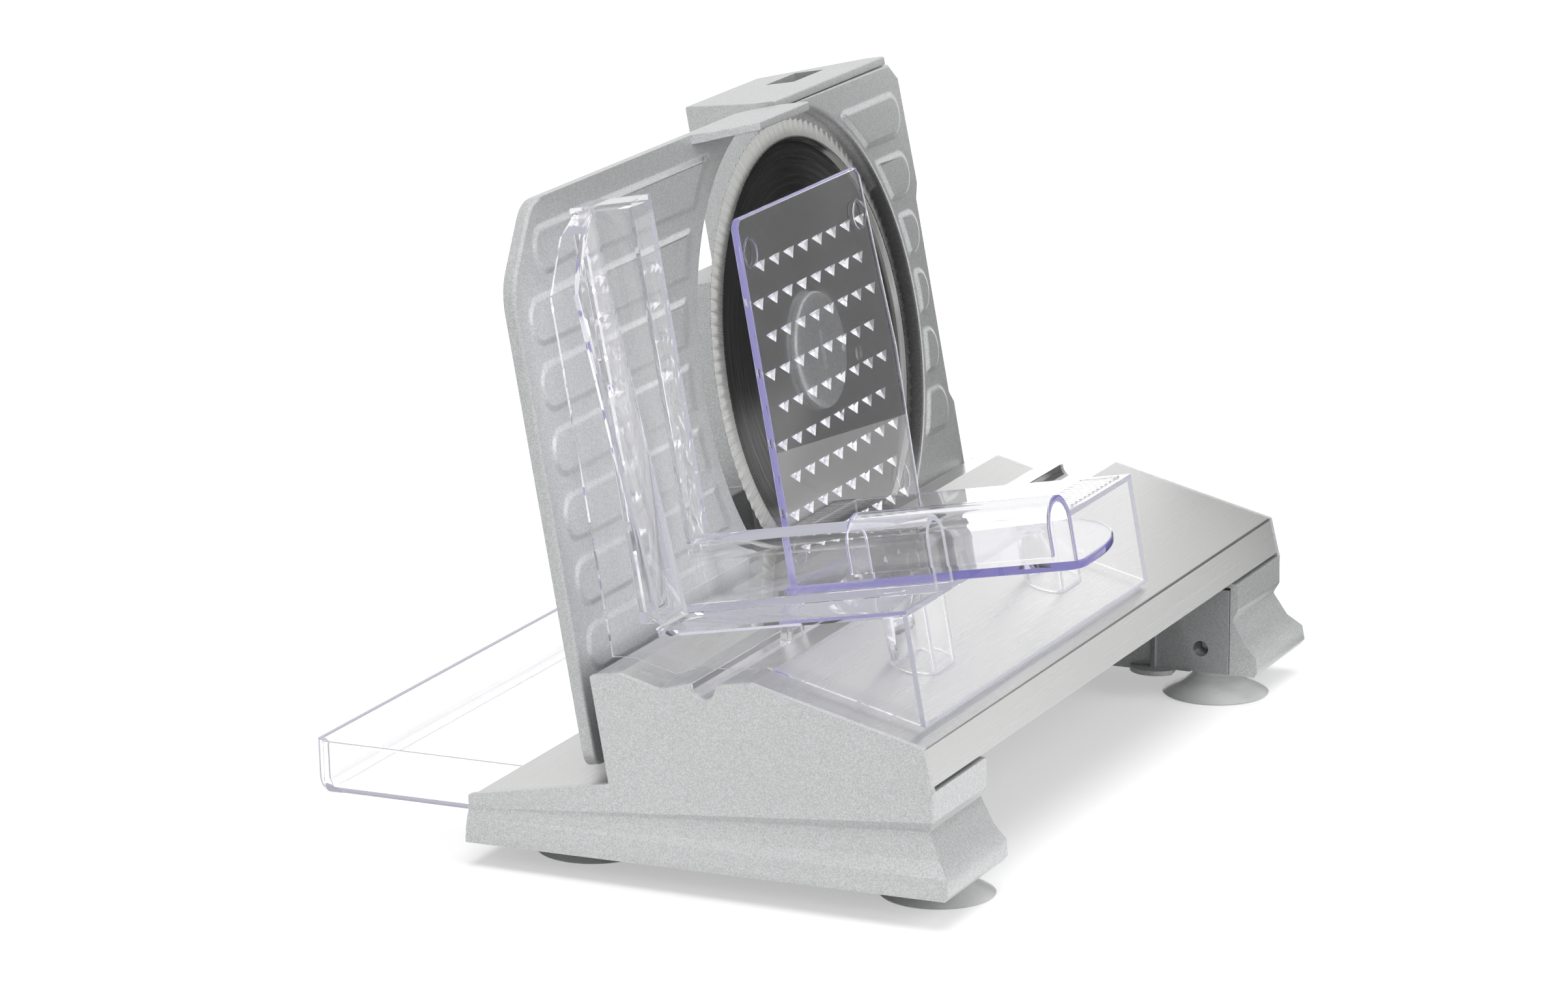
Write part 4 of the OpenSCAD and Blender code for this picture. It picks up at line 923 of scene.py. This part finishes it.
class SLICER_OT_blade(bpy.types.Operator):
    """Adds the round blade with its scalloped bevel and stepped dish, and its hub cover"""

    bl_idname = "slicer.blade"
    bl_label = "Blade and hub cover"

    def execute(self, context):
        rim = BLADE_RADIUS
        profile = [(r * MM, z * MM) for r, z in HUB_FRONT]
        profile += [(rim - a * MM, z * MM) for a, z in DISH_AND_EDGE]
        profile += [(r * MM, z * MM) for r, z in HUB_BACK]
        deep, count = sizes().scallop_depth, sizes().scallops

        def scallop(radius, height, angle):
            """Draws the edge in between two points of the scallops, and hollows the bevel there."""
            near = max(0, 1 - (rim - radius) / SCALLOP_REACH)
            wave = 1 - abs(math.sin(angle * count / 2)) ** 0.8
            hollow = 0.3 * MM * (1 - wave) * near if height < 0.7 * MM else 0
            return radius - deep * (1 - wave) * near, height + hollow

        bm = bmesh.new()
        turned(bm, profile, 6 * count, flute=scallop)
        hole = bmesh.new()
        away = math.radians(PIN_HOLE_ANGLE)
        turned(hole, [(PIN_HOLE, 5 * MM), (PIN_HOLE, -2 * MM)], 40, closed=False,
               at=Matrix.Translation((PIN_HOLE_AT * math.cos(away), PIN_HOLE_AT * math.sin(away), 0)))
        made = piece("slicing_blade", combine([bm, hole], "DIFFERENCE"), finish("turned_steel"),
                     ["blade"], 38, Matrix.Translation(HUB) @ BLADE_AXES)
        made.data.materials.append(finish("bevel_steel"))
        for face in made.data.polygons:
            if face.center.xy.length > BEVEL_RADIUS and face.normal.z < 0:
                face.material_index = 1
        soften("blade_lock", "hub_cover", "hub_steel", 0.25 * MM)
        return {"FINISHED"}


def soft_panel(node, slope):
    """A copy of a silver panel's mesh with a round front rim and soft pads, sloping at their +X ends."""
    regions = flat_regions(node, -1)
    front = max(regions, key=lambda depth: len(regions[depth]))
    raised = min((depth for depth in regions if depth < front), key=lambda depth: -len(regions[depth]))
    pads = [rounded(pad, 3 * MM) for pad in regions[raised]]
    bm = cad_mesh(node)
    soft_front(bm, front * MM, pads, (front - raised) * MM, sizes().face_round, slope)
    return bm, front * MM


class SLICER_OT_front_panel(bpy.types.Operator):
    """Adds the silver front panel with its raised pads and the recess that the blade turns in"""

    bl_idname = "slicer.front_panel"
    bl_label = "Front panel"

    def execute(self, context):
        bm, front = soft_panel("housing_panel", sizes().pad_slope / 2)
        made = piece("front_panel", bm, finish("silver_panel"), ["housing_panel"])
        # The recess wall and floor take the material with painted shade towards the right
        made.data.materials.append(finish("recess_moulding"))
        for face in made.data.polygons:
            where = local(face.center) - local(HUB)
            if where.xz.length < RECESS_RADIUS and where.y > front + 0.2 * MM:
                face.material_index = 1
        return {"FINISHED"}


class SLICER_OT_motor_housing(bpy.types.Operator):
    """Adds the tapered motor housing, its screws, the lead gland and the rocker switch"""

    bl_idname = "slicer.motor_housing"
    bl_label = "Motor housing and switch"

    def execute(self, context):
        soften("motor_housing", "motor_casing", "silver_panel", sizes().casting_round, outer=True)
        paint("black_moulding", "cord_inlet", "switch_body")
        soften("power_switch", "switch_rocker_cap", "black_moulding", 0.3 * MM)
        paint("machined_steel", "housing_screws")
        return {"FINISHED"}


class SLICER_OT_drive(bpy.types.Operator):
    """Finishes the motor, worm, gear, shafts and bushes inside the housing"""

    bl_idname = "slicer.drive"
    bl_label = "Drive"

    def execute(self, context):
        paint("machined_steel", "motor_can", "worm_shaft", "blade_shaft")
        paint("sintered_bronze", "worm_bush", "front_bush", "rear_bush")
        paint("dark_moulding", "motor_clamp")
        paint("enamelled_copper", "motor_armature")
        paint("natural_nylon", "worm_gear")
        return {"FINISHED"}


class SLICER_OT_thickness_plate(bpy.types.Operator):
    """Adds the silver thickness plate with its raised pads and the shelf over the blade"""

    bl_idname = "slicer.thickness_plate"
    bl_label = "Thickness plate"

    def execute(self, context):
        bm, front = soft_panel("thickness_plate", sizes().pad_slope)
        ease(bm, sizes().casting_round, 3, only=lambda e: all(
            local(v.co).y < front - 0.5 * MM and local(v.co).z > SHELF_FROM for v in e.verts))
        piece("gauge_plate", bm, finish("silver_panel"), ["thickness_plate"])
        return {"FINISHED"}


class SLICER_OT_thickness_drive(bpy.types.Operator):
    """Finishes the guide rods, nut, spindle and knob that move the thickness plate"""

    bl_idname = "slicer.thickness_drive"
    bl_label = "Thickness drive and knob"

    def execute(self, context):
        paint("machined_steel", "guide_rods", "thickness_spindle")
        paint("sintered_bronze", "rod_bushes", "spindle_bush")
        paint("dark_moulding", "thickness_nut")
        soften("thickness_knob", "gauge_knob", "dark_moulding", 0.6 * MM, 3)
        return {"FINISHED"}


class SLICER_OT_carriage(bpy.types.Operator):
    """Adds the clear carriage with its guide wall, thumb guard and posts"""

    bl_idname = "slicer.carriage"
    bl_label = "Clear carriage"

    def execute(self, context):
        soften("carriage", "food_carriage", "clear_moulding", sizes().clear_round, 3)
        soften("carriage_guides", "groove_tongues", "clear_moulding", sizes().clear_round)
        return {"FINISHED"}


# The pusher in mm: depths o of its plate's faces, how far the plate stands in from the hood's side, its
# outline, and the spikes' rows, columns and pitch
PUSHER_PLATE, PUSHER_IN = (-66, -63), 23.5
PLATE_OUTLINE = [(0, 0), (123, 0), (125, 70), (117, 140), (114, 143), (3, 143), (0, 140)]
SPIKE_ROWS, SPIKE_COLUMNS, SPIKE_PITCH = 9, 8, 13.6
SPIKE_SECTION = ((2.9, -0.3), (2.9, 0.1), (0.35, 3.35), (0.1, 3.5))
SPIKE_CORNERS = (math.radians(180), math.radians(60), math.radians(-60))
# Fine raised rings near the plate's corners, where the mould's pins push: places, and section
RING_PLACES = ((7.5, 129), (110, 125), (8, 14.5), (110, 20))
RING_SECTION = ((5.9, 0.2), (5.2, 0.2), (5.2, -0.25), (5.9, -0.25))
# The hood over the carriage's rail: the middle of its arch, its outer and inner radius, its two ends
HOOD_X, HOOD_S, HOOD_OUTER, HOOD_INNER, HOOD_NEAR, HOOD_FAR = 11.5, 19, 11.5, 8.9, -181, -99


def pusher_corner():
    """Lowest x and s of the pusher in the blade's frame, in mm."""
    points = [local(v.co) for v in NODES["pusher"].data.vertices]
    return min(p.x for p in points) / MM, min(p.z for p in points) / MM


def points_2d(rows):
    """Vectors in metres from rows of millimetres."""
    return [Vector(row) * MM for row in rows]


def pusher_plate(x, s):
    """The pusher's upright plate."""
    loop = points_2d([(x + PUSHER_IN + right, s + up) for right, up in PLATE_OUTLINE])
    near, far = PUSHER_PLATE
    bm = bmesh.new()
    slab(bm, rounded(loop, 3 * MM), near * MM, far * MM, 0.9 * MM)
    return bm


def pusher_spikes(x, s):
    """The rows of three-sided spikes that hold the food."""
    bm = bmesh.new()
    for row in range(SPIKE_ROWS):
        for column in range(SPIKE_COLUMNS):
            right = 12 + column * SPIKE_PITCH + (SPIKE_PITCH / 2 if row % 2 == 0 else 0)
            if right < 116:
                spike(bm, x + PUSHER_IN + right, PUSHER_PLATE[1], s + 14 + row * SPIKE_PITCH)
    return bm


def pusher_rings(x, s):
    """The rings near the plate's corners."""
    bm = bmesh.new()
    for right, up in RING_PLACES:
        where = place((x + PUSHER_IN + right) * MM, PUSHER_PLATE[0] * MM, (s + up) * MM)
        turned(bm, [(r * MM, o * MM) for r, o in RING_SECTION], 40, Matrix.Translation(where) @ BLADE_AXES)
    return bm


def spike(bm, x, o, s):
    """A three-sided spike that stands on the pusher's plate towards the blade."""
    rings = []
    for radius, depth in SPIKE_SECTION:
        rings.append([bm.verts.new(place((x + radius * math.sin(a)) * MM, (o + depth) * MM,
                                         (s + radius * math.cos(a)) * MM)) for a in SPIKE_CORNERS])
    join_rings(bm, rings)
    bm.faces.new(rings[0])
    bm.faces.new(rings[-1])


def pusher_flange(x, s):
    """The pusher's foot, flat on the food table, with a round front."""
    far, back = -1.5, PUSHER_PLATE[1]
    near = x + PUSHER_IN - 3.1
    loop = [(near, back), (near, -177), (near + 2, -181.5), (near + 6, -183)]
    loop += [(near + 14 + 74 * math.sin(a), -131 - 52 * math.cos(a))
             for a in (math.radians(6 * k) for k in range(16))]
    loop += [(far - 6, -96), (far, -66), (far, back)]
    bm = bmesh.new()
    slab(bm, counter_clockwise(points_2d(loop)), s * MM, (s + 3.2) * MM, 0.8 * MM, level)
    return bm


def pusher_hood(x, s):
    """The pusher's hood, an arch over the carriage's rail with a short near leg."""
    centre, rail_s = x + HOOD_X, s + HOOD_S
    turn = [math.radians(7.5 * k) for k in range(25)]
    loop = [(centre + HOOD_OUTER * math.cos(a), rail_s + HOOD_OUTER * math.sin(a)) for a in turn]
    loop += [(centre - HOOD_OUTER, s + 9.5), (centre - HOOD_INNER, s + 9.5)]
    loop += [(centre + HOOD_INNER * math.cos(a), rail_s + HOOD_INNER * math.sin(a)) for a in reversed(turn)]
    loop += [(centre + HOOD_INNER, s + 0.4), (centre + HOOD_OUTER, s + 0.4)]
    bm = bmesh.new()
    slab(bm, counter_clockwise(points_2d(loop)), HOOD_NEAR * MM, HOOD_FAR * MM, 0.7 * MM)
    return bm


class SLICER_OT_pusher(bpy.types.Operator):
    """Adds the clear food pusher with its spikes, flange and hood"""

    bl_idname = "slicer.pusher"
    bl_label = "Clear pusher"

    def execute(self, context):
        x, s = pusher_corner()
        solid = combine([build(x, s) for build in (
            pusher_plate, pusher_spikes, pusher_rings, pusher_flange, pusher_hood)])
        piece("food_pusher", solid, finish("violet_moulding"), ["pusher"], 40)
        return {"FINISHED"}


class SLICER_OT_catch_tray(bpy.types.Operator):
    """Adds the clear tray that catches the slices"""

    bl_idname = "slicer.catch_tray"
    bl_label = "Catch tray"

    def execute(self, context):
        soften("catch_tray", "slice_tray", "clear_moulding", sizes().clear_round, 3)
        return {"FINISHED"}


# The stage: camera and its target in mm, lens and sensor; glow of the floor and light of the world, as rays
# show them; lamps with direction, strength and softness in degrees; cards in metres with their glow
CAMERA_AT, CAMERA_TARGET = Vector((-2270.7, -979.4, 718.2)) * MM, Vector((-1.76, 15.66, 106.44)) * MM
CAMERA_LENS, CAMERA_SENSOR = 147.49, 36
FLOOR_GLOW, WORLD_SEEN, WORLD_LIT = 0.42, 0.75, 0.25
LAMPS = {
    "top_softbox": ((-0.05, -0.05, 1), 2.1, 50),
    "left_softbox": ((-1, -0.3, 0.6), 0.7, 35),
    "front_softbox": ((0.05, -1, 0.6), 1.1, 40),
}
CARDS = {
    "card_right": ((0.5, -0.27, 0), (0.5, -0.1, 0.3), 0),
    "card_front": ((0.5, -0.62, 0.1), (0.5, -0.27, 0.3), 0),
    "card_side": ((0.5, -0.1, 0), (0.5, 0, 0.19), 0),
    "card_light": ((0.51, 0.005, 0), (0.51, 0.2, 0.17), 2.5),
    "card_low": ((0.24, -0.27, 0.001), (0.5, 0, 0.001), 0),
}
CARD_GREY, WHITE = (0.04, 0.04, 0.04, 1), (1, 1, 1, 1)


def lamp(name, direction, strength, angle):
    """A sun lamp that shines from a direction, soft by its angle in degrees."""
    data = bpy.data.lights.new(name, "SUN")
    data.energy = strength
    data.angle = math.radians(angle)
    made = bpy.data.objects.new(name, data)
    made.rotation_euler = Vector(direction).to_track_quat("Z", "Y").to_euler()
    made.visible_glossy = False
    bpy.context.scene.collection.objects.link(made)


def card(name, low, high, glow):
    """A card on the stage, upright along Y or flat, which only glossy surfaces show, for contrast."""
    (x0, y0, z0), (x1, y1, z1) = low, high
    corners = ([(x0, y0, z0), (x0, y1, z0), (x0, y1, z1), (x0, y0, z1)] if x0 == x1
               else [(x0, y0, z0), (x1, y0, z0), (x1, y1, z0), (x0, y1, z0)])
    bm = bmesh.new()
    bm.faces.new([bm.verts.new(corner) for corner in corners])
    made = put(name, bm)
    made.data.materials.append(principled(f"{name}_face", {
        "Roughness": 1, "Specular IOR Level": 0, "Base Color": CARD_GREY, "Emission Color": WHITE,
        "Emission Strength": glow})[0])
    made.visible_camera = made.visible_diffuse = made.visible_transmission = False
    made.visible_shadow = made.visible_volume_scatter = False


def seen_rays(tree):
    """One for rays that show a surface: from the camera, a gloss or through clear plastic."""
    path = tree.nodes.new("ShaderNodeLightPath")
    straight = math_node(tree, "MAXIMUM", path.outputs["Is Camera Ray"], path.outputs["Is Glossy Ray"])
    return math_node(tree, "MAXIMUM", straight, path.outputs["Is Transmission Ray"])


class SLICER_OT_stage(bpy.types.Operator):
    """Adds the pale floor, the soft studio light and the camera"""

    bl_idname = "slicer.stage"
    bl_label = "Floor, light and camera"

    def execute(self, context):
        scene = context.scene
        scene.view_settings.view_transform = "Standard"
        bm = bmesh.new()
        bmesh.ops.create_grid(bm, x_segments=8, y_segments=8, size=9)
        floor = put("floor", bm)
        floor.location.z = -0.1 * MM
        material, tree, shader = principled("floor_paper", {
            "Roughness": 0.9, "Specular IOR Level": 0.1, "Base Color": opaque("floor"),
            "Emission Color": WHITE})
        glow = math_node(tree, "MULTIPLY", seen_rays(tree), FLOOR_GLOW)
        tree.links.new(glow, shader.inputs["Emission Strength"])
        floor.data.materials.append(material)
        for name, (low, high, glow) in CARDS.items():
            card(name, low, high, glow)
        world = bpy.data.worlds.new("studio")
        world.use_nodes = True
        scene.world = world
        tree = world.node_tree
        background = tree.nodes["Background"]
        background.inputs["Color"].default_value = WHITE
        level = math_node(tree, "ADD", math_node(tree, "MULTIPLY", seen_rays(tree), WORLD_SEEN), WORLD_LIT)
        tree.links.new(level, background.inputs["Strength"])
        for name, (direction, strength, angle) in LAMPS.items():
            lamp(name, direction, strength, angle)
        data = bpy.data.cameras.new("camera")
        data.lens, data.sensor_width, data.sensor_fit = CAMERA_LENS, CAMERA_SENSOR, "HORIZONTAL"
        camera = bpy.data.objects.new("camera", data)
        camera.location = CAMERA_AT
        camera.rotation_euler = (CAMERA_AT - CAMERA_TARGET).to_track_quat("Z", "Y").to_euler()
        scene.collection.objects.link(camera)
        scene.camera = camera
        return {"FINISHED"}


OPERATORS = (
    SLICER_OT_base_castings, SLICER_OT_decks, SLICER_OT_suction_cups, SLICER_OT_front_panel,
    SLICER_OT_motor_housing, SLICER_OT_drive, SLICER_OT_blade, SLICER_OT_thickness_plate,
    SLICER_OT_thickness_drive, SLICER_OT_carriage, SLICER_OT_pusher, SLICER_OT_catch_tray,
    SLICER_OT_stage)


class SLICER_PT_pieces(bpy.types.Panel):
    """Lists the slicer's pieces, sizes and colours"""

    bl_idname = "SLICER_PT_pieces"
    bl_label = "Food slicer"
    bl_space_type = "VIEW_3D"
    bl_region_type = "UI"
    bl_category = "Slicer"

    def draw(self, context):
        for operator in OPERATORS:
            self.layout.operator(operator.bl_idname)
        for values in (context.scene.slicer_forms, context.scene.slicer_finishes):
            column = self.layout.column()
            for name in values.__annotations__:
                column.prop(values, name)


CLASSES = (SlicerForms, SlicerFinishes, *OPERATORS, SLICER_PT_pieces)


def register():
    """Registers the classes and hangs the sizes and colours on the scene."""
    for each in CLASSES:
        bpy.utils.register_class(each)
    bpy.types.Scene.slicer_forms = PointerProperty(type=SlicerForms)
    bpy.types.Scene.slicer_finishes = PointerProperty(type=SlicerFinishes)


def unregister():
    """Undoes register."""
    del bpy.types.Scene.slicer_forms
    del bpy.types.Scene.slicer_finishes
    for each in reversed(CLASSES):
        bpy.utils.unregister_class(each)


def main():
    register()
    for operator in OPERATORS:
        family, name = operator.bl_idname.split(".")
        getattr(getattr(bpy.ops, family), name)()


if __name__ == "__main__":
    main()
